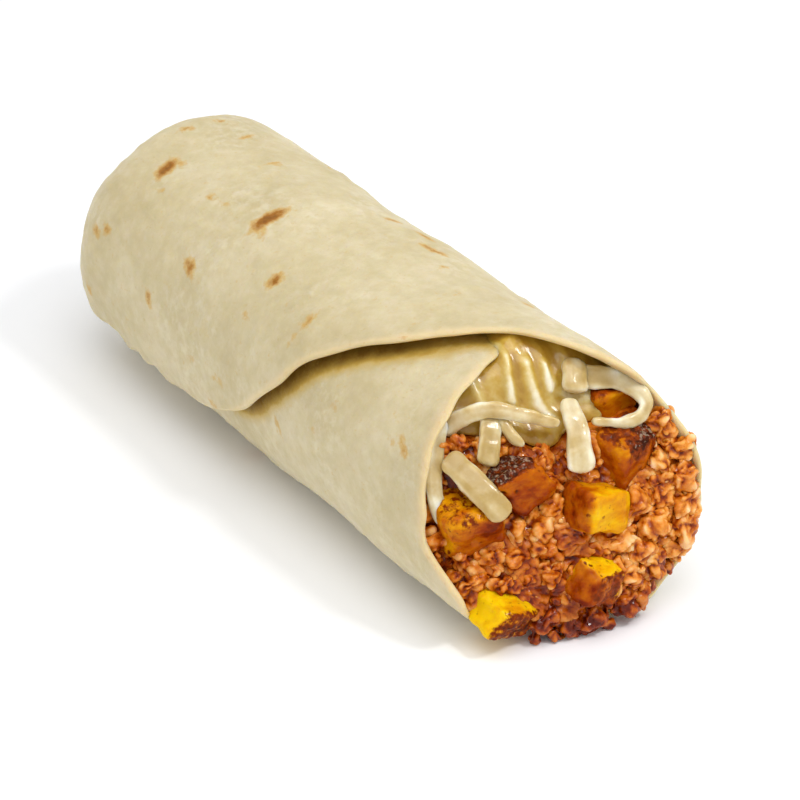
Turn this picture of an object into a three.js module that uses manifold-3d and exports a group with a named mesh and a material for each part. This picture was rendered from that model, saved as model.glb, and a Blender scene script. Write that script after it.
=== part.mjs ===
// A burrito: ground beef, fried sweet plantain and melted white cheese, rolled in one flour tortilla.
// It lies on its side. +X runs along the roll to its open end, +Y to its far side, +Z up.
// The origin is on the surface that it lies on, under the middle of its box. Millimetres and degrees.
import * as THREE from 'three';
import { mergeVertices } from 'three/addons/utils/BufferGeometryUtils.js';
import Module from 'manifold-3d';

const wasm = await Module();
wasm.setup();

// The roll, modelled about its own axis and then shifted so that its box is centred
const CLOSED_END = -80.4; // where the closed end stands
const RIM = 75.7; // the tortilla's front edge, below and on the far side
const HALF_WIDTH = 28;
const HALF_HEIGHT = 26.9;
const AXIS_HEIGHT = 24.1; // less than the half height, so the roll lies on a flat strip
const SQUARENESS = 2.15; // exponent of the section, where 2 is an ellipse
const TAPER = 0.97; // the closed end's width over the open end's
const CENTRING = { x: -0.9, y: 0.65 };

// The closed end, rounded over, drawn in at its middle and folded
const END = { length: 17.5, unevenness: 4, toward: 140, bluntness: 2.3 };
const TUCK = { dimple: 4.5, pleats: 7, depth: 4.4, plugWidth: 9.4, plugHeight: 9, plugDepth: 3.4 };

// The sheet
const SHEET = 1.9;
const GAP = 0.3; // air between neighbouring layers and pieces
const PITCH = SHEET + GAP; // each turn lies this far outside the one below it
const WRAP_START = 78; // wrap angle of the hidden inner edge, counted from +Y over the top
const WRAP_FINISH = 568; // wrap angle of the flap's free edge, one turn and a third later
const WRAP_LEVEL = 320; // wrap angle at which the sheet's outside lies on the section's outline
const WRAP_STEP = 9; // degrees between the sheet's columns, and half of it near the flap's corner
const CORNER_FROM = 525; // wrap angle at which the columns move closer together
const END_ROWS = [0.02, 0.06, 0.16, 0.34, 0.62, 1]; // rows of points over the closed end, as shares of it
const BODY_ROWS = 8;

// Soft dents and swells of the rolled surface: height, lobes round the roll, length along it, phase
const SWELLS = [
  { height: 0.32, lobes: 2, length: 19, phase: 0 },
  { height: 0.24, lobes: 3, length: -13, phase: 1.1 },
  { height: 0.16, lobes: 5, length: 8, phase: 2.3 },
];

// The front edge: where it starts beside the opening, and how it then steps forward and back
const EDGE_BESIDE = { setback: 26.5, gain: 12, from: 93, over: 80, bend: 0.8, hiddenSlant: 0.4 };
const EDGE_STEPS = [
  { by: 14.5, from: 178, to: 210 }, // forward, to the full rim below
  { by: -10, from: 378, to: 402 }, // back, up the far side
  { by: -20, from: 415, to: 458 }, // over the roof
  { by: -36, from: 440, to: 540 }, // along the flap
];
const EDGE_DIP = { by: -11, at: 242, spread: 34 }; // where the filling hangs over the rim
const FLAP_SWEEP = { by: -34, from: 518, over: 50, bend: 1.9 };
const FLAP_CORNER = { by: -7, from: 548, bend: 4 };

// What stands off the layer below: the roof over the filling, and the flap's loose front edge
const ROOF = { height: 2.3, angle: 434, spread: 38, from: 18, to: 66, rises: [380, 400] };
const FLAP_LIFT = { height: 1.1, from: 30, to: 6, rises: [440, 480], falls: [575, 520] };

// The filling
const FACE = { reach: 71.3, lean: 0.33, slope: -0.5, crown: 0.004, edgeDrop: 1.5 }; // a leaning dome
const BEEF_FACE = { sunk: 2.2, brim: 7, fallAway: 8 }; // high beside the far rim, low at the far bottom
const CHEESE_FLOOR = 12.5; // height over the axis at which the cheese lies on the beef
const FLOOR_SAG = 0.0051; // how the floor's sides curve up from its middle
const CHEESE_LIP = { depth: 2.6, at: 0.6, spread: 4 }; // where the cheese hangs lower down the beef
const FLOOR_STEPS = 16;
const CHEESE_SUNK = 5; // how far the melted cheese lies behind the face
const SLACK = 0.5; // more air inside the roll, where the filling is out of sight
const MOUTH = RIM - 22; // where the roll's section gives the face its outline
const UNDER_ROOF = { growth: 4.5, rises: [0, 30], falls: [98, 84] }; // room that the melt fills up to the roof
const FILLING_SIDES = 36;

// Chunks of fried plantain: middle, sizes and turn in degrees
const PLANTAIN = [
  { name: 'plantain_left', at: [61.8, -16.6, 0.4], size: [12, 12.5, 11.6], turn: [14, 8, -12], seed: 3 },
  { name: 'plantain_bottom', at: [70.4, -14, -16.8], size: [11, 12, 7.6], turn: [-24, 10, 6], seed: 8 },
  { name: 'plantain_charred', at: [65, -7.6, 6.4], size: [9.6, 9.2, 9.8], turn: [24, -6, 10], seed: 15 },
  { name: 'plantain_middle', at: [72.2, 6, 0.8], size: [10, 11.6, 8.6], turn: [-14, -10, 8], seed: 21 },
  { name: 'plantain_right', at: [69.2, 14.2, 8.2], size: [10, 10.6, 11], turn: [6, 12, 14], seed: 34 },
  { name: 'plantain_low', at: [77, 2.6, -12.4], size: [8.6, 9, 8.6], turn: [-22, 8, 16], seed: 47 },
  { name: 'plantain_tucked', at: [60.7, 17.4, 15.6], size: [6, 10, 6.4], turn: [4, 0, -10], seed: 52 },
];
const CHUNK_SEGMENTS = 3;
const CHUNK_SQUARENESS = 5;
const CHUNK_SKEW = 0.44; // how far the corners are pulled about, as a share of the half size

// Shreds of cheese. Each runs through its points: how far it stands off the face, y, and height over the axis.
// narrow is the share of its width that is left at the path's far end.
const SHREDS = [
  {
    name: 'cheese_bar',
    width: 5.2,
    thick: 2.4,
    path: [[0.2, -18.5, 11.8], [3.0, -17.1, 9.6], [5.2, -15.3, 6.4], [5.2, -13.1, 3.0]],
  },
  {
    name: 'cheese_rim',
    width: 3.4,
    thick: 1.7,
    path: [[-2.2, -16.2, 17.4], [-0.4, -20.2, 11.6], [0.6, -22.2, 6.2], [1, -21.9, 0.6]],
  },
  {
    name: 'cheese_arch',
    width: 3.8,
    narrow: 0.6,
    thick: 2,
    path: [[-3.6, -16.4, 14.6], [-0.6, -12.6, 18], [0.6, -8.2, 19], [0.8, -3.4, 17.8], [0.6, 2.8, 15.4]],
  },
  {
    name: 'cheese_drop',
    width: 3.6,
    narrow: 1.25,
    thick: 1.8,
    path: [[-1.8, -8, 18], [-0.2, -9.4, 15.8], [0.8, -11, 13.2], [1.3, -12.6, 10.2]],
  },
  {
    name: 'cheese_short',
    width: 2.8,
    narrow: 0.6,
    thick: 1.5,
    path: [[-1.8, -6.8, 17.6], [-0.4, -6.7, 15.8], [0.3, -6.1, 14.1], [0.6, -4.7, 12.5]],
  },
  {
    name: 'cheese_hang',
    width: 3.7,
    narrow: 1.5,
    thick: 2,
    path: [[-0.8, 6.3, 18.8], [1.6, 5.2, 15], [2.6, 4, 11.4], [2.9, 3, 8]],
  },
  {
    name: 'cheese_block',
    width: 4.4,
    narrow: 1.25,
    thick: 2.4,
    path: [[-3.4, 11.2, 23.6], [-2.2, 9.7, 21.6], [-1.4, 8.4, 19]],
  },
  {
    name: 'cheese_curl',
    width: 4.9,
    narrow: 0.32,
    thick: 1.5,
    path: [
      [-4.2, 9.8, 20.6],
      [-2, 12.8, 20.8],
      [-0.4, 16.6, 20.4],
      [0.8, 19.5, 18.5],
      [1.6, 20.1, 16.4],
      [1.6, 18.3, 14.9],
      [1.2, 14.4, 14.3],
      [0.6, 9, 15.2],
    ],
  },
];
const SHRED_SIDES = 8;
const SHRED_STEP = 2.7; // length of one step along a shred
const SHRED_SOFTNESS = 0.62; // exponent of its section, where 1 is an ellipse, and size of its end rings

// Runs of melted cheese down the front of the melt, part of it
const RUNS = [
  { width: 2.4, thick: 2, path: [[-4.8, -8.4, 21.6], [-4.6, -8.2, 20], [-4.8, -8, 18]] },
  { width: 2, thick: 2, path: [[-5, -0.6, 25], [-4.6, -1.4, 22], [-4.8, -2.4, 18]] },
  { width: 3, thick: 2.2, path: [[-5, 2.6, 23.4], [-4.6, 2.2, 20.2], [-4.6, 2.3, 16.8], [-4.8, 3.6, 14.6]] },
  { width: 1.6, thick: 1.8, path: [[-5, 5.8, 23], [-4.8, 5.4, 20.6], [-5, 5.2, 19]] },
  { width: 4.4, thick: 2.2, path: [[-4.8, 11.8, 19.2], [-4.4, 13.2, 16.4], [-4.6, 14, 13.8]] },
];

// The largest clumps of beef: y, height over the axis, and how wide and tall each is
const CLUMPS = [
  [9.3, -6.4, 8.6, 6.4],
  [22.6, 12, 5.6, 7],
  [24.4, 8.4, 6, 5.4],
  [24.3, 2.4, 6.2, 7],
  [19.4, 0.8, 6.6, 8.4],
  [-18.6, -11.4, 6.6, 6.8],
  [-13.1, -11.6, 6.4, 5.6],
  [-9.1, -7.2, 8.4, 5],
  [-19.4, -6.6, 5.4, 7.2],
  [-0.8, 1, 6.4, 5],
  [-4.2, -2.4, 7.4, 5.2],
  [-4.1, -11.9, 5.2, 7.6],
  [13.4, -9.6, 6, 6.6],
  [10.8, -14.6, 5.4, 7],
  [-6.8, -17.2, 6.4, 5.2],
];
const CLUMP_DEPTH = 6;

// The crumbs between them, the larger first
const CRUMB_KINDS = [
  { size: 6.4, count: 40, detail: 0 },
  { size: 4.8, count: 40, detail: 0 },
];
const CRUMB_SEED = 20;
const CRUMB_TRIES = 5000;
const CRUMB_SPACING = 0.37; // least distance between two crumbs over the sum of their sizes
const CRUMB_SUNK = 0.34; // how deep a crumb's middle lies below its crest, over its size
const DROOP = { by: 2.4, from: -12, to: -20, near: 3, far: 10 }; // how the lowest crumbs sag over the rim

const MATERIALS = {
  tortilla: { color: 0xdccfa4, roughness: 0.75 },
  beef: { color: 0xa85a2a, roughness: 0.4 },
  cheese: { color: 0xe2d09a, roughness: 0.35 },
  plantain: { color: 0xe09a12, roughness: 0.4 },
};

const DEG = Math.PI / 180;
const clamp01 = (value) => Math.min(1, Math.max(0, value));
const smooth = (from, to, value) => {
  const t = clamp01((value - from) / (to - from));
  return t * t * (3 - 2 * t);
};
const bell = (value, middle, spread) => Math.exp(-(((value - middle) / spread) ** 2));
const signedPower = (value, power) => Math.sign(value) * Math.abs(value) ** power;
const point = (x, y, z) => new THREE.Vector3(x, y, z);

// A seeded random draw, the same on every run.
function seeded(seed) {
  let state = seed >>> 0;
  return () => {
    state = (state + 0x6d2b79f5) >>> 0;
    let t = Math.imul(state ^ (state >>> 15), state | 1);
    t ^= t + Math.imul(t ^ (t >>> 7), t | 61);
    return ((t ^ (t >>> 14)) >>> 0) / 2 ** 32;
  };
}

// Solids

function solidFrom(positions, faces) {
  return new wasm.Manifold(
    new wasm.Mesh({
      numProp: 3,
      vertProperties: new Float32Array(positions),
      triVerts: new Uint32Array(faces),
    }),
  );
}

function solidOf(geometry) {
  const bare = geometry.clone();
  bare.deleteAttribute('normal');
  bare.deleteAttribute('uv');
  const merged = mergeVertices(bare, 1e-4);
  return solidFrom(merged.attributes.position.array, merged.index.array);
}

function geometryOf(solid) {
  const mesh = solid.getMesh();
  const positions = new Float32Array(mesh.numVert * 3);
  for (let i = 0; i < mesh.numVert; i++)
    positions.set(mesh.vertProperties.subarray(i * mesh.numProp, i * mesh.numProp + 3), i * 3);
  const geometry = new THREE.BufferGeometry();
  geometry.setAttribute('position', new THREE.BufferAttribute(positions, 3));
  geometry.setIndex(new THREE.BufferAttribute(new Uint32Array(mesh.triVerts), 1));
  geometry.computeVertexNormals();
  return geometry;
}

// A cut can leave loose scraps, so only the largest body is kept.
function largest(solid) {
  return solid.decompose().sort((a, b) => b.volume() - a.volume())[0];
}

// Joins two grids of points, one on the outside and one below it, into one closed solid.
function sheetSolid(outside, inside) {
  const columns = outside.length;
  const rows = outside[0].length;
  const positions = [outside, inside].flat(2).flatMap((p) => [p.x, p.y, p.z]);
  const faces = [];
  const top = (i, j) => i * rows + j;
  const under = (i, j) => columns * rows + i * rows + j;
  const quad = (a, b, c, d) => faces.push(a, c, b, a, d, c);
  for (let i = 0; i < columns - 1; i++)
    for (let j = 0; j < rows - 1; j++) {
      quad(top(i, j), top(i, j + 1), top(i + 1, j + 1), top(i + 1, j));
      quad(under(i, j), under(i + 1, j), under(i + 1, j + 1), under(i, j + 1));
    }
  for (let i = 0; i < columns - 1; i++) {
    quad(top(i, 0), top(i + 1, 0), under(i + 1, 0), under(i, 0));
    quad(top(i + 1, rows - 1), top(i, rows - 1), under(i, rows - 1), under(i + 1, rows - 1));
  }
  for (let j = 0; j < rows - 1; j++) {
    quad(top(0, j + 1), top(0, j), under(0, j), under(0, j + 1));
    quad(top(columns - 1, j), top(columns - 1, j + 1), under(columns - 1, j + 1), under(columns - 1, j));
  }
  return solidFrom(positions, faces);
}

// A closed solid through rings of points, each ring with the same number of them.
function lofted(rings) {
  const count = rings[0].length;
  const positions = rings.flat().flatMap((p) => [p.x, p.y, p.z]);
  const faces = [];
  for (let i = 0; i < rings.length - 1; i++)
    for (let j = 0; j < count; j++) {
      const k = (j + 1) % count;
      const [a, b, c, d] = [i * count + j, i * count + k, (i + 1) * count + k, (i + 1) * count + j];
      faces.push(a, b, c, a, c, d);
    }
  for (const last of [false, true]) {
    const first = last ? (rings.length - 1) * count : 0;
    const ring = rings[last ? rings.length - 1 : 0];
    const centre = ring.reduce((sum, p) => sum.add(p), point(0, 0, 0)).divideScalar(count);
    const hub = positions.length / 3;
    positions.push(centre.x, centre.y, centre.z);
    for (let j = 0; j < count; j++) {
      const k = (j + 1) % count;
      faces.push(hub, first + (last ? j : k), first + (last ? k : j));
    }
  }
  const made = solidFrom(positions, faces);
  if (made.volume() >= 0) return made;
  for (let i = 0; i < faces.length; i += 3) [faces[i + 1], faces[i + 2]] = [faces[i + 2], faces[i + 1]];
  return solidFrom(positions, faces);
}

// The rolled surface

// How far the sheet's outside stands out of the section's outline, at a wrap angle.
const wrapRise = (wrap) => (PITCH * (wrap - WRAP_LEVEL)) / 360;

// How much of the length rounds over into the closed end, which is slightly flattened.
const endLength = (wrap) => END.length + END.unevenness * Math.cos(2 * (wrap - END.toward) * DEG);

function swell(turn, x) {
  const wave = ({ height, lobes, length, phase }) => height * Math.sin(lobes * turn + x / length + phase);
  return SWELLS.reduce((sum, spec) => sum + wave(spec), 0);
}

// A point on the roll: its wrap angle, its place along the axis, and its height off the section's outline.
// floor is the lowest height over the resting surface that the point may take.
function onRoll(wrap, x, rise, floor) {
  const turn = wrap * DEG;
  const share = clamp01((x - CLOSED_END + rise) / (endLength(wrap) + rise));
  const rounding = (1 - (1 - share) ** END.bluntness) ** (1 / END.bluntness);
  const taper = TAPER + (1 - TAPER) * clamp01((x - CLOSED_END) / (RIM - CLOSED_END));
  const out = rise + swell(turn, x) * rounding;
  const fold = Math.sin(TUCK.pleats * turn + Math.sin(2 * turn)) * rounding * (1 - rounding);
  const drawnIn = TUCK.dimple * (1 - rounding) ** 2 + TUCK.depth * fold;
  const y = (HALF_WIDTH * taper + out) * rounding * signedPower(Math.cos(turn), 2 / SQUARENESS);
  const z = (HALF_HEIGHT * taper + out) * rounding * signedPower(Math.sin(turn), 2 / SQUARENESS);
  return point(x + drawnIn, y, Math.max(floor, z + AXIS_HEIGHT));
}

// Where the sheet's front edge runs: cut back beside the opening, full below and on the far side,
// and then slanting back over the roof and along the flap to its round corner.
function frontEdge(wrap) {
  const beside =
    EDGE_BESIDE.gain * clamp01((wrap - EDGE_BESIDE.from) / EDGE_BESIDE.over) ** EDGE_BESIDE.bend -
    EDGE_BESIDE.setback -
    EDGE_BESIDE.hiddenSlant * Math.max(0, EDGE_BESIDE.from - wrap);
  const steps = EDGE_STEPS.reduce((sum, { by, from, to }) => sum + by * smooth(from, to, wrap), 0);
  const dip = EDGE_DIP.by * bell(wrap, EDGE_DIP.at, EDGE_DIP.spread);
  const sweep = FLAP_SWEEP.by * clamp01((wrap - FLAP_SWEEP.from) / FLAP_SWEEP.over) ** FLAP_SWEEP.bend;
  const pastCorner = clamp01((wrap - FLAP_CORNER.from) / (WRAP_FINISH - FLAP_CORNER.from));
  const corner = FLAP_CORNER.by * pastCorner ** FLAP_CORNER.bend;
  return RIM + beside + steps + dip + sweep + corner;
}

// How far the flap is lifted off the layer below.
function flapLift(wrap, x) {
  const roof =
    ROOF.height *
    smooth(ROOF.from, ROOF.to, x) *
    bell(wrap, ROOF.angle, ROOF.spread) *
    smooth(...ROOF.rises, wrap);
  const edge =
    FLAP_LIFT.height *
    smooth(FLAP_LIFT.from, FLAP_LIFT.to, frontEdge(wrap) - x) *
    smooth(...FLAP_LIFT.rises, wrap) *
    smooth(...FLAP_LIFT.falls, wrap);
  return roof + edge;
}

// The tortilla

// Wrap angles of the sheet's columns, closer together at the flap's corner.
function wrapStations() {
  const stations = [];
  for (let wrap = WRAP_START; wrap < WRAP_FINISH - 1; wrap += wrap > CORNER_FROM ? WRAP_STEP / 2 : WRAP_STEP)
    stations.push(wrap);
  stations.push(WRAP_FINISH);
  return stations;
}

// One column of the sheet at a depth below its outside, from the middle of the closed end to the front edge.
function sheetColumn(wrap, depth, clearance) {
  const rise = wrapRise(wrap) - depth;
  const floor = Math.max(0, depth);
  const end = endLength(wrap);
  const overEnd = END_ROWS.map((share) => onRoll(wrap, CLOSED_END - rise + share * (end + rise), rise, floor));
  const from = CLOSED_END + end;
  const reach = frontEdge(wrap) + clearance - from;
  const alongBody = Array.from({ length: BODY_ROWS }, (_, row) => {
    const x = from + (reach * (row + 1)) / BODY_ROWS;
    return onRoll(wrap, x, rise + flapLift(wrap, x), floor);
  });
  return [...overEnd, ...alongBody];
}

// The middle of the closed end, where the tortilla's folded end is tucked in.
function tuckedEnd() {
  const tuck = new THREE.SphereGeometry(1, 24, 10);
  tuck.rotateZ(Math.PI / 2);
  tuck.scale(TUCK.plugDepth, TUCK.plugWidth, TUCK.plugHeight);
  tuck.translate(CLOSED_END + TUCK.dimple + SHEET, 0, AXIS_HEIGHT);
  return solidOf(tuck);
}

// The rolled tortilla, or the space that it needs with a clearance on both faces and at its front edge.
function tortilla(clearance = 0) {
  const stations = wrapStations();
  const outside = stations.map((wrap) => sheetColumn(wrap, -clearance, clearance));
  const inside = stations.map((wrap) => sheetColumn(wrap, SHEET + clearance, clearance));
  return sheetSolid(outside, inside).add(tuckedEnd());
}

// The filling

// How far the filling's side lies off the section's outline, at an angle round the roll.
function fillingRise(angle) {
  const low = wrapRise(WRAP_START);
  const high = wrapRise(360);
  const rise = angle >= WRAP_START ? wrapRise(angle) : high + ((low - high) * angle) / WRAP_START;
  return rise - SHEET - GAP;
}

// A point on the filling's side, inside the tortilla.
const fillingSide = (angle, x, slack) => onRoll(angle, x, fillingRise(angle) - slack, SHEET + GAP + slack);

// The front face of the filling at a place across the section, where height is over the axis.
function faceAt(y, height) {
  const spread = (y / HALF_WIDTH) ** 2 + (height / HALF_HEIGHT) ** 2;
  const crown = FACE.crown * (y * y + height * height);
  return FACE.reach + FACE.lean * y + FACE.slope * height - crown - FACE.edgeDrop * spread ** 4;
}

// The beef's face, out to the crests of its crumbs.
function beefFaceAt(y, height) {
  const towardRim = Math.max(0, (0.98 * y + 0.1 * height) / HALF_WIDTH);
  const towardBottom = Math.max(0, (0.67 * y - 0.74 * height) / HALF_WIDTH);
  return faceAt(y, height) + BEEF_FACE.brim * towardRim ** 4 - BEEF_FACE.fallAway * towardBottom ** 3;
}

// A filling's whole body, from inside the closed end to its front face.
// growth is how much further its front end reaches out at an angle, before it is cut to the room there.
function fillingBody(face, growth = () => 0) {
  const back = CLOSED_END + TUCK.dimple + SHEET;
  const angles = Array.from({ length: FILLING_SIDES }, (_, i) => (i * 360) / FILLING_SIDES);
  const ringAt = (x, size, slack) =>
    angles.map((angle) => {
      const side = fillingSide(angle, x, x < MOUTH ? slack : slack - growth(angle));
      return point(x, side.y * size, AXIS_HEIGHT + (side.z - AXIS_HEIGHT) * size);
    });
  const hiddenRings = [[back, 0.5], [back + 2, 0.84], [back + 7, 0.97], [back + 15, 1], [-25, 1], [15, 1]];
  const rings = hiddenRings.map(([x, size]) => ringAt(x, size, SLACK));
  rings.push(ringAt(MOUTH - 12, 1, 0));
  for (const size of [1, 0.86, 0.62, 0.32])
    rings.push(ringAt(MOUTH, size, 0).map((p) => point(face(p.y, p.z - AXIS_HEIGHT), p.y, p.z)));
  return lofted(rings);
}

// How much lower the cheese hangs at a place across the roll.
const cheeseLip = (y) => CHEESE_LIP.depth * bell(y, CHEESE_LIP.at, CHEESE_LIP.spread);

// The space that the cheese takes above the beef, grown downwards by the clearance asked for.
function aboveBeef(clearance) {
  const half = HALF_WIDTH * 1.5;
  const low = CHEESE_FLOOR + AXIS_HEIGHT - clearance;
  const length = 2 * (RIM - CLOSED_END);
  const places = Array.from({ length: FLOOR_STEPS + 1 }, (_, step) => half * ((2 * step) / FLOOR_STEPS - 1));
  const floor = places.map((y) => new THREE.Vector2(y, low + FLOOR_SAG * y * y - cheeseLip(y)));
  const shape = new THREE.Shape(floor);
  shape.lineTo(half, low + 2 * HALF_HEIGHT);
  shape.lineTo(-half, low + 2 * HALF_HEIGHT);
  const slab = new THREE.ExtrudeGeometry(shape, { depth: length, bevelEnabled: false });
  slab.applyMatrix4(new THREE.Matrix4().makeBasis(point(0, 1, 0), point(0, 0, 1), point(1, 0, 0)));
  slab.translate(-length / 2, 0, 0);
  return solidOf(slab);
}

// A cut chunk of fruit: a cube with soft edges whose corners are pulled about.
function chunk({ at, size, turn, seed }, clearance = 0) {
  const random = seeded(seed);
  const signs = [-1, 1];
  const corners = signs.flatMap((x) => signs.flatMap((y) => signs.map((z) => point(x, y, z))));
  const pull = () => point(random(), random(), random()).subScalar(0.5).multiplyScalar(CHUNK_SKEW);
  const pulls = corners.map(pull);
  const half = point(...size).divideScalar(2).addScalar(clearance);
  const turned = new THREE.Euler(...turn.map((angle) => angle * DEG));
  const placed = new THREE.Matrix4().makeRotationFromEuler(turned);
  placed.setPosition(at[0], at[1], at[2] + AXIS_HEIGHT);
  const geometry = new THREE.BoxGeometry(2, 2, 2, CHUNK_SEGMENTS, CHUNK_SEGMENTS, CHUNK_SEGMENTS);
  const position = geometry.getAttribute('position');
  for (let i = 0; i < position.count; i++) {
    const p = point(position.getX(i), position.getY(i), position.getZ(i));
    const powers = p.toArray().map((value) => Math.abs(value) ** CHUNK_SQUARENESS);
    p.divideScalar((powers[0] + powers[1] + powers[2]) ** (1 / CHUNK_SQUARENESS));
    const unmoved = p.clone();
    corners.forEach((corner, k) => {
      const near = corner.clone().multiply(unmoved).addScalar(1).divideScalar(2);
      p.addScaledVector(pulls[k], near.x * near.y * near.z);
    });
    p.multiply(half).applyMatrix4(placed);
    position.setXYZ(i, p.x, p.y, p.z);
  }
  return solidOf(geometry);
}

// The way that the filling's face looks, in which a shred is thin.
const FACE_NORMAL = point(1, -FACE.lean, -FACE.slope).normalize();

function shredCurve({ path }) {
  const onFace = ([off, y, height]) => point(faceAt(y, height) + off, y, height + AXIS_HEIGHT);
  return new THREE.CatmullRomCurve3(path.map(onFace));
}

// A strip with a soft-cornered section that follows a curve, flat to the face.
function shred(spec, clearance = 0) {
  const curve = shredCurve(spec);
  const steps = Math.max(5, Math.round(curve.getLength() / SHRED_STEP));
  const rings = [];
  for (let i = 0; i <= steps; i++) {
    const t = i / steps;
    const isEnd = i === 0 || i === steps;
    const size = isEnd ? SHRED_SOFTNESS : 1;
    const width = spec.width * (1 - (1 - (spec.narrow ?? 1)) * t);
    const along = curve.getTangentAt(t);
    const across = along.clone().cross(FACE_NORMAL).normalize();
    const out = across.clone().cross(along).normalize();
    const centre = curve.getPointAt(t).addScaledVector(along, isEnd ? Math.sign(t - 0.5) * clearance : 0);
    const ring = Array.from({ length: SHRED_SIDES }, (_, k) => {
      const turn = ((k + 0.5) * 2 * Math.PI) / SHRED_SIDES;
      const a = signedPower(Math.cos(turn), SHRED_SOFTNESS) * ((width / 2) * size + clearance);
      const b = signedPower(Math.sin(turn), SHRED_SOFTNESS) * ((spec.thick / 2) * size + clearance);
      return centre.clone().addScaledVector(across, a).addScaledVector(out, b);
    });
    rings.push(ring);
  }
  return lofted(rings);
}

// An irregular lump with its three sizes, turned by no more than the tumble asked for, in radians.
function lump(centre, sizes, random, detail, tumble) {
  const ball = new THREE.IcosahedronGeometry(0.5, detail);
  const geometry = mergeVertices(ball.deleteAttribute('normal').deleteAttribute('uv'), 1e-4);
  const position = geometry.getAttribute('position');
  for (let i = 0; i < position.count; i++) {
    const rough = 0.82 + 0.36 * random();
    position.setXYZ(i, position.getX(i) * rough, position.getY(i) * rough, position.getZ(i) * rough);
  }
  geometry.scale(...sizes);
  const turn = new THREE.Euler(tumble * random(), tumble * random(), tumble * random());
  geometry.applyMatrix4(new THREE.Matrix4().makeRotationFromEuler(turn));
  geometry.translate(centre.x, centre.y, centre.z);
  return solidFrom(geometry.attributes.position.array, geometry.index.array);
}

// Whether a crumb of this size fits at a place on the face, clear of the crumbs, chunks and shreds there.
function crumbFits(y, height, size, taken) {
  if (height > CHEESE_FLOOR + 0.011 * y * y - cheeseLip(y) - 1) return false;
  const distance = (otherY, otherHeight) => Math.hypot(otherY - y, otherHeight - height);
  const onCrumb = (other) => distance(other.y, other.height) < CRUMB_SPACING * (other.size + size);
  if (taken.some(onCrumb)) return false;
  const onChunk = (spec) => distance(spec.at[1], spec.at[2]) < (spec.size[1] + size) / 2 - 2;
  if (PLANTAIN.some(onChunk)) return false;
  const onShred = (spec) =>
    shredCurve(spec)
      .getSpacedPoints(12)
      .some((p) => distance(p.y, p.z - AXIS_HEIGHT) < (spec.width + size) / 2);
  return !SHREDS.some(onShred);
}

// The clumps and crumbs that cover the beef's front.
function crumbs() {
  const random = seeded(CRUMB_SEED);
  const made = [];
  const taken = [];
  const put = (y, height, sizes, detail, tumble) => {
    const size = Math.max(...sizes);
    const x = beefFaceAt(y, height) - size * CRUMB_SUNK;
    const droop = DROOP.by * smooth(DROOP.from, DROOP.to, height) * smooth(DROOP.far, DROOP.near, y);
    const z = height + AXIS_HEIGHT - droop;
    taken.push({ y, height, size });
    made.push(lump(point(x, y, z), sizes, random, detail, tumble));
  };
  for (const [y, height, wide, tall] of CLUMPS) put(y, height, [CLUMP_DEPTH, wide, tall], 1, 0.4);
  for (const { size, count, detail } of CRUMB_KINDS)
    for (let tries = 0, placed = 0; tries < CRUMB_TRIES && placed < count; tries++) {
      const share = Math.sqrt(random()) * (1 - (CRUMB_SUNK * size) / HALF_WIDTH);
      const side = fillingSide(360 * random(), MOUTH, 0);
      const y = side.y * share;
      const height = (side.z - AXIS_HEIGHT) * share;
      if (!crumbFits(y, height, size, taken)) continue;
      const sizes = [0.8 + 0.25 * random(), 0.85 + 0.4 * random(), 0.8 + 0.3 * random()];
      put(y, height, sizes.map((share) => share * size), detail, 2 * Math.PI);
      placed++;
    }
  return made;
}

// Everything together

function named(name, solid, settings) {
  const material = new THREE.MeshStandardMaterial({ metalness: 0, ...settings });
  const mesh = new THREE.Mesh(geometryOf(solid), material);
  mesh.name = name;
  return mesh;
}

function burrito() {
  const group = new THREE.Group();
  group.add(named('tortilla', tortilla(), MATERIALS.tortilla));

  // Each piece is cut to the room that the ones before it leave.
  let taken = tortilla(GAP);
  const place = (spec, form, settings) => {
    group.add(named(spec.name, largest(form(spec).subtract(taken)), settings));
    taken = taken.add(form(spec, GAP));
  };
  for (const spec of SHREDS) place(spec, shred, MATERIALS.cheese);
  for (const spec of PLANTAIN) place(spec, chunk, MATERIALS.plantain);

  const underRoof = (angle) =>
    UNDER_ROOF.growth * smooth(...UNDER_ROOF.rises, angle) * smooth(...UNDER_ROOF.falls, angle);
  const meltBody = fillingBody((y, height) => faceAt(y, height) - CHEESE_SUNK, underRoof);
  const melt = wasm.Manifold.union([meltBody, ...RUNS.map((spec) => shred(spec))]);
  const cheese = melt.intersect(aboveBeef(0)).subtract(taken);
  group.add(named('cheese_melt', largest(cheese), MATERIALS.cheese));

  const core = fillingBody((y, height) => beefFaceAt(y, height) - BEEF_FACE.sunk);
  const heap = wasm.Manifold.union([core, ...crumbs()]).trimByPlane([0, 0, 1], GAP);
  const beef = heap.subtract(aboveBeef(GAP)).subtract(taken);
  group.add(named('ground_beef', largest(beef), MATERIALS.beef));

  group.position.set(CENTRING.x, CENTRING.y, 0);
  return group;
}

export default burrito();
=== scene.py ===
"""A burrito with ground beef, fried sweet plantain and melted white cheese, rolled in one flour tortilla.

Lengths are millimetres and angles degrees, and become metres where a mesh is finished. The roll lies along
+X with its open end in front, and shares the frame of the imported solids.
"""
import logging
import math
from dataclasses import dataclass
from enum import Enum
from typing import Callable, Iterable, Sequence

import bmesh
import bpy
import numpy as np
from mathutils import Matrix, Vector, noise


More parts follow.
